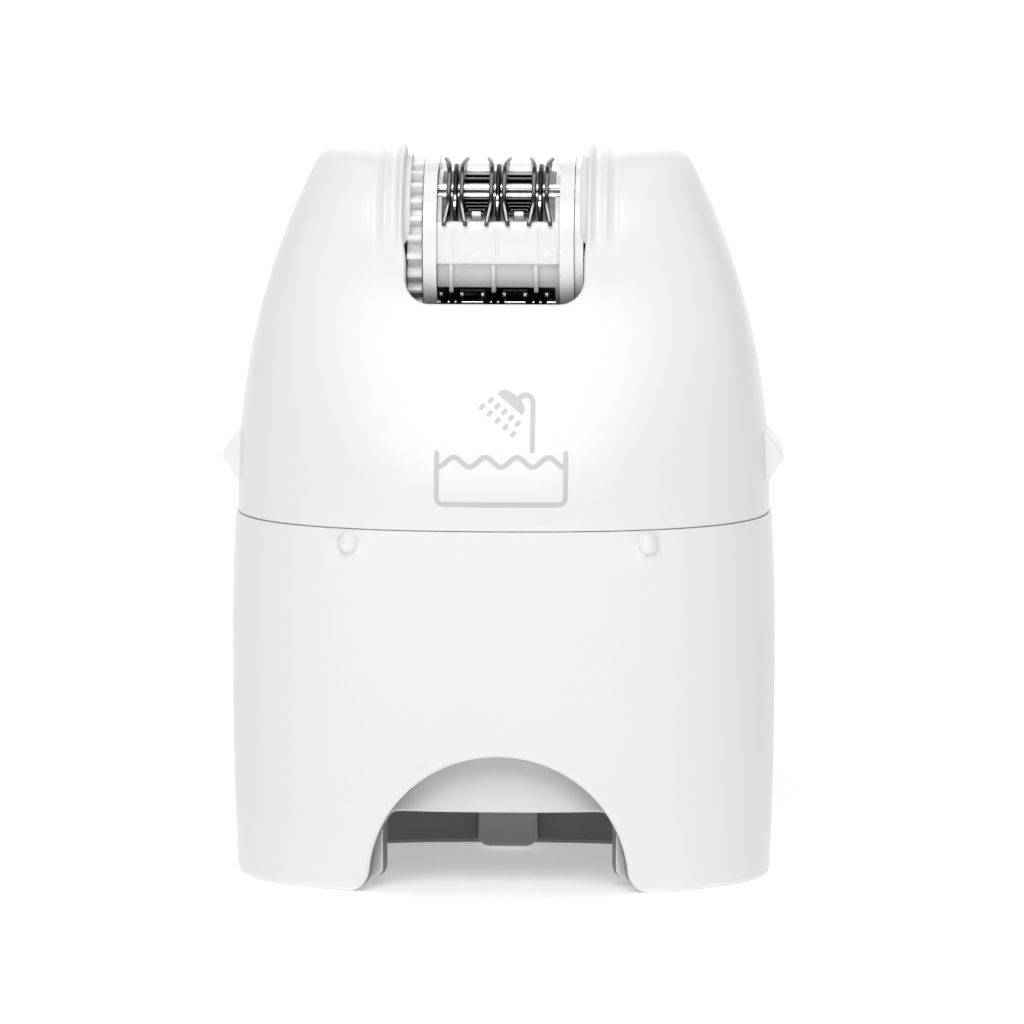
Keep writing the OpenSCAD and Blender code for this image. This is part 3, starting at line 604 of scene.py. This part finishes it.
def frame_columns(z):
    """Points of one level, in four runs: front, right side, rear and left side."""
    a, b, n = frame_a(z), frame_b(z), frame_n(z)
    left, right = WIN_X - WIN_W / 2 - WIN_EDGE, WIN_X + WIN_W / 2 + WIN_EDGE
    turn = WIN_R + WIN_EDGE
    d = z - (WIN_Z - WIN_EDGE)
    inset = turn if d <= 0 else edge_in(d, turn)
    xl, xr = left + inset, right - inset

    def front(x):
        return (x, -oval_depth(x, a, b, n))

    def side(sgn, x_edge, x_nominal):
        """From the front window edge round the side to the rear window edge."""
        xs = [x_edge + (x_nominal + sgn * 0.1 - x_edge) * i / 8 for i in range(8)]
        x_band = x_nominal + sgn * 4.4
        xs += [x_nominal + sgn * 0.1 + (x_band - x_nominal - sgn * 0.1) * i / 44 for i in range(45)]
        t1 = oval_angle(abs(x_band), a, n)
        pts = [front(x) for x in xs]
        for i in range(1, SIDE_N):
            v = -1 + 2 * i / SIDE_N
            t = t1 * math.copysign(abs(v) ** 1.6, v)
            x, y = oval_point(a, b, n, t)
            pts.append((sgn * x, y))
        pts += [(x, oval_depth(x, a, b, n)) for x in reversed(xs)]
        return pts

    f_run = [front(xl + (xr - xl) * i / WIN_N) for i in range(WIN_N + 1)]
    r_run = side(1, xr, right)
    b_run = [(x, -y) for x, y in reversed(f_run)]
    l_run = list(reversed(side(-1, xl, left)))
    # one closed ring: shared corner points appear once
    ring = f_run + r_run[1:] + b_run[1:] + l_run[1:-1]
    return ring, len(f_run), len(r_run), len(b_run)


SIDE_N, WIN_N = 72, 36
open_from = 34
sill, foot = WIN_Z - WIN_EDGE, FRAME_BOTTOM + SEAM_R
levels = [foot + (sill - foot) * i / open_from for i in range(open_from + 1)]
turn = WIN_R + WIN_EDGE
for i in range(1, 11):
    levels.append(sill + turn * (1 - math.cos(math.pi / 2 * i / 10)))
z_last = levels[-1]
for i in range(1, 7):
    levels.append(z_last + (AXIS - z_last) * i / 6)
for i in range(1, 40):
    levels.append(AXIS + DOME_R * math.sin(math.radians(90 * i / 40)))
levels.append(FRAME_TOP - 0.0005)
pts, rings = [], []
for z in levels:
    ring, n_f, n_r, n_b = frame_columns(z)
    rings.append(ring)
m = len(rings[0])
for z, ring in zip(levels, rings):
    for x, y in ring:
        h = ridge_height(x, z) if abs(x) > 8 else 0.0
        if h:
            # outward direction of the dome in the plane of its section
            b = max(frame_b(z), 1e-6)
            up = math.sin(math.atan2(z - AXIS, b)) if z > AXIS else 0.0
            fwd = math.sqrt(max(0.0, 1 - up * up)) * (-1 if y < 0 else 1)
            pts.append((x, y + fwd * h, z + up * h))
        else:
            pts.append((x, y, z))
f_cols = range(0, n_f - 1)
b0 = n_f - 1 + n_r - 1
b_cols = range(b0, b0 + n_b - 1)
skip = set(f_cols) | set(b_cols)
faces = []
for r in range(len(levels) - 1):
    for k in range(m):
        if r >= open_from and k in skip:
            continue
        j = (k + 1) % m
        faces.append((r * m + k, r * m + j, (r + 1) * m + j, (r + 1) * m + k))


def weld_top(quads, top_row, count, n_front, n_right):
    """Joins the front and rear halves of the last level along the crown."""
    link = {}
    right = list(range(n_front - 1, n_front - 1 + n_right))
    left = list(range(n_front - 1 + n_right - 1 + n_front - 1, count)) + [0]
    for run in (right, left):
        half = len(run) // 2
        for i in range(half):
            link[top_row * count + run[-1 - i]] = top_row * count + run[i]
    out = []
    for q in quads:
        w = []
        for i in q:
            i = link.get(i, i)
            if i not in w:
                w.append(i)
        if len(w) > 2:
            out.append(tuple(w))
    return out


faces = weld_top(faces, len(levels) - 1, m, n_f, n_r)


def boundary_loops(quads):
    """Open edges joined into loops, each with the surface on its left."""
    seen = {}
    for q in quads:
        for i in range(len(q)):
            seen[(q[i], q[(i + 1) % len(q)])] = True
    nxt = {}
    for a, b in seen:
        if (b, a) not in seen:
            nxt[a] = b
    loops = []
    while nxt:
        start, cur = next(iter(nxt.items()))
        loop = [start]
        del nxt[start]
        while cur != start:
            loop.append(cur)
            cur = nxt.pop(cur)
        loops.append(loop)
    return loops


used = sorted({i for q in faces for i in q})
number = {old: new for new, old in enumerate(used)}
pts = [pts[i] for i in used]
faces = [tuple(number[i] for i in q) for q in faces]
loops = boundary_loops(faces)
shell_from_grid("frame_cover", pts, faces, loops, FRAME_WALL,
                rim_profile(FRAME_WALL, WIN_EDGE, 0.25), SHELL, "frame", "white_shell",
                replaces=("upper_frame",), seam=rim_profile(FRAME_WALL, SEAM_R, SEAM_R))

# Seats for the button springs, inside the frame
SEAT_X0, SEAT_X1, SEAT_END = 17.6, 18.4, 25.0
SEAT_Y0, SEAT_Y1, SEAT_Z = 5.6, 6.8, (40.9, 47.3)
for sx, side in ((-1, "left"), (1, "right")):
    seat = Parts()
    for x0, x1, y0, y1 in ((SEAT_X0, SEAT_X1, -SEAT_Y1, SEAT_Y1),
                           (SEAT_X0, SEAT_END, -SEAT_Y1, -SEAT_Y0),
                           (SEAT_X0, SEAT_END, SEAT_Y0, SEAT_Y1)):
        plan = [(sx * x0, y0), (sx * x1, y0), (sx * x1, y1), (sx * x0, y1)]
        seat.loft([[(x, y, z) for x, y in plan] for z in SEAT_Z])
    bevel(seat.make("spring_seat_" + side, SHELL, "frame", "white_shell"), 0.15, 2)


# ---------------------------------------------------------------- release buttons
face, tip = BUTTON_TIP - 1.5, BUTTON_TIP
flange, button_z = BUTTON_IN + 1.2, 43.3
wedge = [(flange, -2.3), (face, -2.3), (face + 0.4, -1.75), (tip - 0.62, -0.78), (tip - 0.3, -0.5),
         (tip - 0.08, -0.2), (tip, 0.1), (tip - 0.06, 0.4), (tip - 0.24, 0.75), (tip - 0.6, 1.25),
         (face + 0.2, 2.3), (face - 0.12, 2.8), (flange, 2.8)]
wedge = [(x, button_z + z) for x, z in wedge]
plate = [(BUTTON_IN, 40.85), (flange, 40.85), (flange, BUTTON_HIGH), (BUTTON_IN, BUTTON_HIGH)]
tail = [(BUTTON_IN, BUTTON_LOW), (BUTTON_IN + 0.6, BUTTON_LOW), (BUTTON_IN + 0.6, 41.2), (BUTTON_IN, 41.2)]
for sx, side in ((-1, "left"), (1, "right")):
    button = Parts()
    for outline, half_y in ((wedge, 3.8), (plate, 4.9), (tail, 2.4)):
        button.loft([[(sx * x, y, z) for x, z in outline] for y in (-half_y, half_y)])
    name = "button_" + side
    bevel(button.make(name, SHELL, name, "white_shell", replaces=("release_" + name,)), 0.22, 3, 50)


# ---------------------------------------------------------------- drum
def row_angle(k):
    return ROW_TILT + ROW_STEP * k


def station_x(k, j):
    return WIN_X + 0.2 - ROW_SHIFT * k / (ROWS - 1) + PITCH * (j - 1)


def on_drum(x, r, deg):
    a = math.radians(deg)
    return (x, -r * math.cos(a), AXIS + r * math.sin(a))


# Core, end blocks, recesses and ribs
core = Parts()
turned_x(core, [(BARREL_L, BORE_R), (BARREL_L, FLOOR_R), (BARREL_R, FLOOR_R), (BARREL_R, BORE_R)])
core.make("drum_core", DRUM, "drum", "white_drum", replaces=("drum_barrel",))

body = Parts()
for k in range(ROWS):
    a = row_angle(k)
    body.prism_x(sector(FLOOR_R - 0.4, RECESS_R, a + SLOT_TOP, a + RECESS_END + 2), BARREL_L, BARREL_R)
    ends = [(BARREL_R - 0.55, BARREL_R)]
    if k == 0:
        ends.append((BARREL_L, BARREL_L + 0.52))
    for x0, x1 in ends:
        body.prism_x(sector(FLOOR_R - 0.4, 7.4, a - SLOT_LOW - 1, a + 1.6), x0, x1)
        body.prism_x(sector(FLOOR_R - 0.4, RECESS_R, a + 18.2, a + SLOT_TOP + 1), x0, x1)
    for j in range(3):
        x = station_x(k, j)
        rib = sector(RECESS_R - 0.5, LOBE_R - 0.18, a + SLOT_TOP - 1.5, a + RECESS_END + 1.5)
        body.prism_x(rib, x - 0.23, x + 0.23)
    for j in range(2):
        x = station_x(k, j) + PITCH / 2
        body.prism_x(sector(FLOOR_R - 0.4, 7.25, a - 15.6, a - 11.2), x - 0.5, x + 0.5)
bevel(body.make("drum_blocks", DRUM, "drum", "white_drum"), 0.12, 2, 35)


# Lobes between the rows, with shallow tapered grooves in line with the tweezers
def lobe_section(x, k):
    a0, a1 = row_angle(k) + RECESS_END, row_angle(k) + ROW_STEP - SLOT_LOW
    out = []
    end = min(x - BARREL_L, BARREL_R - x)
    count = 34
    for i in range(count + 1):
        u = i / count
        d = min(abs(x - station_x((k + 1) % ROWS, j)) for j in range(3))
        groove = 0.2 * (1 - smooth(d / (0.16 + 0.3 * u)))
        groove *= smooth((u - 0.06) / 0.12) * smooth((0.88 - u) / 0.12)
        edge = min(u, 1 - u) * math.radians(a1 - a0) * LOBE_R
        r = LOBE_R - edge_in(edge, 0.3) - 0.6 * edge_in(max(0.0, end), 0.12) - groove
        out.append(polar(r, a0 + (a1 - a0) * u))
    out += [polar(FLOOR_R - 0.3, a1), polar(FLOOR_R - 0.3, (a0 + a1) / 2), polar(FLOOR_R - 0.3, a0)]
    return [(x, -p, AXIS + q) for p, q in out]


lobes = Parts()
steps = 120
for k in range(ROWS):
    lobes.loft([lobe_section(BARREL_R + (BARREL_L - BARREL_R) * i / steps, k) for i in range(steps + 1)])
lobes.make("drum_lobes", DRUM, "drum", "white_drum", sharp=45)

# Flanges and hub ring
discs = (
    ("flange_left", "drum_flange_left", DRUM_L + GEAR_W + FLANGE_GAP, BARREL_L + 0.02, FLANGE_R, 0.14),
    ("flange_right", "drum_flange_right", BARREL_R - 0.02, BARREL_R + 1.44, FLANGE_R, 0.14),
    ("hub_ring", "drum_hub_ring", DRUM_R - HUB_W, DRUM_R, HUB_R, 0.12),
)
for name, node, x0, x1, r, fillet in discs:
    disc = Parts()
    turned_x(disc, rounded_profile(x0, x1, BORE_R, r, fillet), 180)
    disc.make(name, DRUM, "drum", "white_drum", sharp=50, replaces=(node,))


# Drum gear
def involute_gear(teeth, tooth_at):
    """Outline of a spur gear with one tooth centred at tooth_at degrees."""
    rp = GEAR_M * teeth / 2
    press = math.radians(20)
    rb = rp * math.cos(press)
    root, tip_r = rp - GEAR_M * 1.2, rp + GEAR_M * 0.8

    def inv(t):
        return t - math.atan(t)

    def half(r):
        t = math.sqrt((r / rb) ** 2 - 1) if r > rb else 0.0
        return math.pi / 2 / teeth - 0.05 / rp + inv(math.tan(press)) - inv(t)

    start = max(root, rb)
    radii = [root, start] + [start + (tip_r - start) * k / 4 for k in (1, 2, 3, 4)]
    pts = []
    for i in range(teeth):
        mid = math.radians(tooth_at) + 2 * math.pi * i / teeth
        for sgn, seq in ((-1, radii), (1, radii[::-1])):
            for r in seq:
                t = mid + sgn * half(r)
                pts.append((r * math.cos(t), r * math.sin(t)))
    return pts


gear = Parts()
gear.prism_x(involute_gear(DRUM_TEETH, -90), DRUM_L, DRUM_L + GEAR_W)
bevel(gear.make("gear_ring", DRUM, "drum", "white_drum", replaces=("drum_gear",)), 0.1, 3, 25)


# ---------------------------------------------------------------- tweezers
def flat(c):
    """Cosine or sine of a squarish round section."""
    return math.copysign(abs(c) ** 0.45, c)


def plate_inner(a):
    """Inner radius of a tweezer plate at angle a from its row."""
    for lo, hi, r0, r1 in ((-90, -19, 8.2, 8.2), (-19, -16.5, 8.2, PLATE_IN), (-16.5, 17, PLATE_IN, PLATE_IN),
                           (17, 19.5, PLATE_IN, 7.5), (19.5, 34, 7.5, 7.5), (34, 36.4, 7.5, 8.2)):
        if a < hi:
            return r0 + (r1 - r0) * (a - lo) / (hi - lo)
    return 8.2


def plate_side(a):
    """Distance of a plate from the middle of its station: a waist, flared at both ends."""
    return WAIST + FLARE * smooth((abs(a - GRIP_LEAN) - 15) / 26)


def plate_section(x, side, k, a):
    mid = max(x + side * plate_side(a), BARREL_L + STROKE + PLATE_T / 2 + 0.02)
    deg = row_angle(k) + a
    low, top, h = plate_inner(a), PLATE_OUT, PLATE_T / 2
    near_end = min(a - PLATE_LOW, PLATE_HIGH - a)
    top -= edge_in(max(0.0, near_end) * 0.15, 0.28)
    c = 0.1
    half = [(h - c, top), (h - c * 0.3, top - c * 0.3), (h, top - c), (h, low + c), (h - c, low)]
    prof = half + [(-dx, r) for dx, r in reversed(half)]
    return [on_drum(mid + dx, r, deg) for dx, r in prof]


# bars of a web: first and last angle, inner and outer radius, share of the full width
WEB_BARS = (
    (-9.0, 38.0, 5.75, 6.0, 1.0), (34.5, 38.0, 5.9, 7.1, 1.0), (29.5, 32.0, 5.9, 6.9, 1.0),
    (24.0, 27.0, 5.9, 6.6, 0.94), (9.3, 10.4, 5.9, 6.6, 1.0), (1.2, 2.2, 5.9, 7.0, 1.0),
    (-2.4, -1.4, 5.9, 6.9, 0.94), (-5.2, -4.2, 5.9, 6.8, 0.86), (-8.0, -7.0, 5.9, 6.7, 0.7),
    (-10.4, -9.0, 5.75, 6.3, 0.5),
)
for k in range(ROWS):
    plates = Parts()
    stops = [PLATE_LOW + (PLATE_HIGH - PLATE_LOW) * i / 46 for i in range(47)]
    for j in range(3):
        for side in (-1, 1):
            plates.loft([plate_section(station_x(k, j), side, k, a) for a in stops])
    plates.make("plates_%d" % (k + 1), TWEEZER, "row_%d" % (k + 1), "tweezer_steel", sharp=50,
                replaces=("row_%d_moving_plates" % (k + 1),))

    # ribbed channel webs, narrowing below the rods
    webs = Parts()
    gap = WAIST + PLATE_T / 2
    for j in range(2):
        x0, x1 = station_x(k, j) + gap - 0.02, station_x(k, j) + PITCH - gap + 0.02
        mid, half_w = (x0 + x1) / 2, (x1 - x0) / 2
        for a0, a1, r0, r1, w in WEB_BARS:
            bar = sector(r0, r1, row_angle(k) + a0, row_angle(k) + a1)
            webs.prism_x(bar, mid - half_w * w, mid + half_w * w)
    bevel(webs.make("webs_%d" % (k + 1), TWEEZER, "row_%d" % (k + 1), "tweezer_steel",
                    replaces=("row_%d_webs" % (k + 1),)), 0.05, 2, 40)

    # fixed blades, each with a polished crowned nose
    blades, noses = Parts(), Parts()
    for j in range(3):
        x = station_x(k, j)
        secs = []
        for i in range(33):
            a = -17 + 57 * i / 32
            top = PLATE_OUT - 0.3 - 0.4 * smooth((abs(a - 11.5) - 22) / 7)
            h = BLADE_HALF
            prof = [(-h, top - 0.15), (-h * 0.5, top - 0.03), (h * 0.5, top - 0.03), (h, top - 0.15),
                    (h, FLOOR_R - 0.1), (-h, FLOOR_R - 0.1)]
            secs.append([on_drum(x + dx, r, row_angle(k) + a) for dx, r in prof])
        blades.loft(secs)
        secs = []
        for i in range(17):
            u = -1 + 2 * i / 16
            w = NOSE_HALF * math.sqrt(max(0.02, 1 - u * u))
            top = PLATE_OUT - 0.05 - 0.2 * u * u
            secs.append([on_drum(x + w * flat(math.cos(t)), top - 0.5 + 0.5 * flat(math.sin(t)),
                                 row_angle(k) - 7.6 + 6.5 * u)
                         for t in [2 * math.pi * q / 28 for q in range(28)]])
        noses.loft(secs)
    blades.make("blades_%d" % (k + 1), BLADE, "drum", "tweezer_steel", sharp=50,
                replaces=("row_%d_fixed_blades" % (k + 1),))
    noses.make("blade_noses_%d" % (k + 1), BRIGHT, "drum", "bright_steel", sharp=60)

    # push rod and guide wire with turned ends
    rods = Parts()
    for at, r in ((ROD_AT, ROD_R), (WIRE_AT, WIRE_R)):
        u, v = polar(ROD_RING, row_angle(k) + at)
        secs = []
        for x, rr in ((ROD_END, r * 0.6), (ROD_END - 0.08, r), (ROD_L + 0.08, r), (ROD_L, r * 0.6)):
            turns = [2 * math.pi * i / 28 for i in range(28)]
            secs.append([(x, -u + rr * math.cos(t), AXIS + v + rr * math.sin(t)) for t in turns])
        rods.loft(secs)
    rods.make("rods_%d" % (k + 1), BRIGHT, "row_%d" % (k + 1), "bright_steel", sharp=40,
              replaces=("row_%d_push_rods" % (k + 1),))


# ---------------------------------------------------------------- printed symbol
INK_TOP, INK_BASE, CAP = 0.035, -0.02, 7


def frame_surface(x, z, lift):
    """Point on the front of the frame, lifted along its normal."""
    a, b, n = frame_a(z), frame_b(z), frame_n(z)
    e = 0.05
    y = -oval_depth(x, a, b, n)
    yx = -oval_depth(x + e, a, b, n)
    yz = -oval_depth(x, frame_a(z + e), frame_b(z + e), frame_n(z + e))
    nrm = Vector((yx - y, -e, yz - y)).normalized()
    return Vector((x, y, z)) + nrm * lift


symbol = Parts()


def stroke(path, width):
    """Raised line of constant width with round ends, laid on the frame's front."""
    path = resample(path, 0.25) if len(path) > 1 else path
    left, right = [], []
    m = len(path)
    for i, (x, z) in enumerate(path):
        x0, z0 = path[max(0, i - 1)]
        x1, z1 = path[min(m - 1, i + 1)]
        dx, dz = x1 - x0, z1 - z0
        d = math.hypot(dx, dz) or 1.0
        left.append((x - dz / d * width / 2, z + dx / d * width / 2))
        right.append((x + dz / d * width / 2, z - dx / d * width / 2))

    def cap(at, prev):
        a = math.atan2(at[1] - prev[1], at[0] - prev[0])
        return [(at[0] + width / 2 * math.cos(a + math.pi / 2 - math.pi * i / 8),
                 at[1] + width / 2 * math.sin(a + math.pi / 2 - math.pi * i / 8))
                for i in range(1, CAP + 1)]

    outline_pts = left + cap(path[-1], path[-2]) + right[::-1] + cap(path[0], path[1])
    base = len(symbol.v)
    n = len(outline_pts)
    for lift in (INK_TOP, INK_BASE):
        symbol.v.extend([tuple(frame_surface(x, z, lift)) for x, z in outline_pts])
    c, w = CAP, len(left)
    for off, flip in ((0, False), (n, True)):
        strip = []
        for i in range(w - 1):
            strip.append([i, i + 1, n - c - 2 - i, n - c - 1 - i])
        end_a = [w - 1] + list(range(w, w + c)) + [w + c]
        end_b = [0] + [n - 1 - i for i in range(c)] + [n - c - 1]
        strip += [end_a, end_b]
        for q in strip:
            q = [base + off + i for i in q]
            symbol.f.append(q[::-1] if flip else q)
    for i in range(n):
        j = (i + 1) % n
        symbol.f.append([base + i, base + j, base + n + j, base + n + i])


def patch(outline):
    """Filled convex shape laid on the frame's front."""
    symbol.loft([[tuple(frame_surface(x, z, lift)) for x, z in outline] for lift in (INK_BASE, INK_TOP)])


SYM_X, SYM_Z, LINE = 0.35, 40.35, 0.5
half_tub, tub_h, tub_r = 6.55, 5.05, 0.7
tub = [(-half_tub, tub_h), (-half_tub, tub_r)]
bend = [polar(tub_r, d) for d in range(10, 91, 10)]
tub += [(-half_tub + tub_r - c, tub_r - s) for c, s in bend]
tub += [(-x, z) for x, z in reversed(tub)]
wave = [(x / 20, 4.2 - 0.48 * math.cos(2 * math.pi * 4 * (x / 20 + 6.4) / 12.8)) for x in range(-128, 129)]
pipe = [(3.15, 5.35), (3.15, 10.0)]
pipe += [(2.4 + c, 10.0 + s) for c, s in [polar(0.75, d) for d in range(10, 171, 10)]]
head = [(2.05, 8.8), (-0.45, 10.85)]
for path in (tub, wave, pipe):
    stroke([(SYM_X + x, SYM_Z + z) for x, z in path], LINE)
mid_x, mid_z = (head[0][0] + head[1][0]) / 2, (head[0][1] + head[1][1]) / 2
tilt = math.atan2(head[0][1] - head[1][1], head[0][0] - head[1][0])
dome = [(1.62 * math.copysign(abs(math.cos(t)) ** 0.8, math.cos(t)), 1.05 * math.sin(t) ** 0.8)
        for t in [math.pi * i / 24 for i in range(1, 24)]]
dome = [(1.62, 0.0)] + dome + [(-1.62, 0.0)]
patch([(SYM_X + mid_x + u * math.cos(tilt) - v * math.sin(tilt),
        SYM_Z + mid_z + u * math.sin(tilt) + v * math.cos(tilt)) for u, v in dome])
for row, back in enumerate((1.15, 2.2)):
    for i in range(5):
        u = -0.06 + 1.12 * i / 4
        x = 2.3 - 2.5 * u - back * 0.62
        z = 9.1 + 2.0 * u - back * 0.78
        fan = (i - 2) * 0.10 * row
        x, z = SYM_X + x - fan, SYM_Z + z + fan
        stroke([(x, z), (x - 0.2, z - 0.22)], 0.42)
symbol.make("printed_symbol", PRINT, "frame", "print_grey", sharp=60)

# ---------------------------------------------------------------- CAD pieces that stay
slot_of = {s["node"]: s["material_slot"] for s in frame["record"]["subparts"]}
for ob in list(bpy.data.objects):
    if ob.type != "MESH" or ob.name not in slot_of:
        continue
    mat = INNER if ob.name == "drum_washers" else BY_SLOT[slot_of[ob.name]]
    if ob.material_slots:
        for s in ob.material_slots:
            s.material = mat
    else:
        ob.data.materials.append(mat)


# ---------------------------------------------------------------- stage, light, camera
WORLD_GLOW, FRONT_W, TOP_W, BACK_W, SWEEP_W = 0.1, 2.22, 0.6, 0.3, 3.0
# floor glow by distance in metres: under the part, round it, and out to the backdrop
FLOOR_GLOW = ((0.0, 0.4), (0.02, 0.4), (0.045, 0.26), (0.3, 0.4), (0.8, 0.62))
FLOOR_FRONT, SWEEP_Y, SWEEP_R, SWEEP_TOP = -1.2, 0.55, 0.5, 1.6
FLOOR_HALF, FLOOR_DROP = 2.0, 0.00002
AZ, EL, DIST, ACROSS = math.radians(2.2), math.radians(7.8), 1.0, 0.1056
AIM_Z, SHIFT_X, SENSOR = 0.0372, 0.0079, 36


def area(name, loc, size, power, target=(0, 0, 0.04)):
    light = bpy.data.lights.new(name, "AREA")
    light.shape = "RECTANGLE"
    light.size, light.size_y = size
    light.energy = power
    ob = bpy.data.objects.new(name, light)
    bpy.context.scene.collection.objects.link(ob)
    ob.location = loc
    ob.rotation_euler = (Vector(target) - Vector(loc)).to_track_quat("-Z", "Y").to_euler()
    return ob


world = bpy.data.worlds.new("studio")
bpy.context.scene.world = world
world.use_nodes = True
world.node_tree.nodes["Background"].inputs["Color"].default_value = (1, 1, 1, 1)
world.node_tree.nodes["Background"].inputs["Strength"].default_value = WORLD_GLOW

area("front", (-0.03, -0.46, 0.43), (0.4, 0.35), FRONT_W)
area("top", (0.0, 0.0, 0.5), (0.35, 0.3), TOP_W)
area("back", (0.05, 0.6, 0.45), (0.5, 0.3), BACK_W)
area("sweep", (0.0, 0.35, 0.6), (0.6, 0.3), SWEEP_W, target=(0.0, 1.05, 0.25))

floor_mat = bpy.data.materials.new("floor")
floor_mat.use_nodes = True
fnt = floor_mat.node_tree
fb = fnt.nodes["Principled BSDF"]
fb.inputs["Roughness"].default_value = 0.9
fb.inputs["Emission Color"].default_value = (1, 1, 1, 1)
far = fnt.nodes.new("ShaderNodeVectorMath")
far.operation = "LENGTH"
place = fnt.nodes.new("ShaderNodeTexCoord")
fnt.links.new(place.outputs["Object"], far.inputs[0])
glow = fnt.nodes.new("ShaderNodeValToRGB")
glow.color_ramp.interpolation = "EASE"
for i, (at, level) in enumerate(FLOOR_GLOW):
    stop = glow.color_ramp.elements[i] if i < 2 else glow.color_ramp.elements.new(at)
    stop.position = at
    stop.color = (level, level, level, 1)
fnt.links.new(far.outputs["Value"], glow.inputs["Fac"])
fnt.links.new(glow.outputs["Color"], fb.inputs["Emission Strength"])
ftex = fnt.nodes.new("ShaderNodeTexNoise")
ftex.inputs["Scale"].default_value = 6.0
framp = fnt.nodes.new("ShaderNodeValToRGB")
framp.color_ramp.elements[0].color = (0.93, 0.93, 0.93, 1)
framp.color_ramp.elements[1].color = (0.96, 0.96, 0.96, 1)
fnt.links.new(ftex.outputs["Fac"], framp.inputs["Fac"])
fnt.links.new(framp.outputs["Color"], fb.inputs["Base Color"])
fverts, ffaces = [], []
sweep = [polar(SWEEP_R, d) for d in range(0, 91, 6)]
path = [(FLOOR_FRONT, 0.0)] + [(SWEEP_Y + s, SWEEP_R - c) for c, s in sweep]
path.append((SWEEP_Y + SWEEP_R, SWEEP_TOP))
for y, z in path:
    fverts += [(-FLOOR_HALF, y, z - FLOOR_DROP), (FLOOR_HALF, y, z - FLOOR_DROP)]
for i in range(len(path) - 1):
    ffaces.append((2 * i, 2 * i + 1, 2 * i + 3, 2 * i + 2))
fmesh = bpy.data.meshes.new("floor")
fmesh.from_pydata(fverts, [], ffaces)
for p in fmesh.polygons:
    p.use_smooth = True
floor = bpy.data.objects.new("floor", fmesh)
fmesh.materials.append(floor_mat)
bpy.context.scene.collection.objects.link(floor)

target = Vector((0.0, 0.0, AIM_Z))
away = Vector((math.sin(AZ) * math.cos(EL), -math.cos(AZ) * math.cos(EL), math.sin(EL)))
cam_data = bpy.data.cameras.new("camera")
cam_data.sensor_width = SENSOR
cam_data.lens = SENSOR * DIST / ACROSS
cam_data.shift_x = SHIFT_X
cam_data.clip_start = 0.01
cam_data.dof.use_dof = False
cam = bpy.data.objects.new("camera", cam_data)
bpy.context.scene.collection.objects.link(cam)
cam.location = target + away * DIST
cam.rotation_euler = (-away).to_track_quat("-Z", "Y").to_euler()
bpy.context.scene.camera = cam
bpy.context.scene.view_settings.view_transform = "Standard"
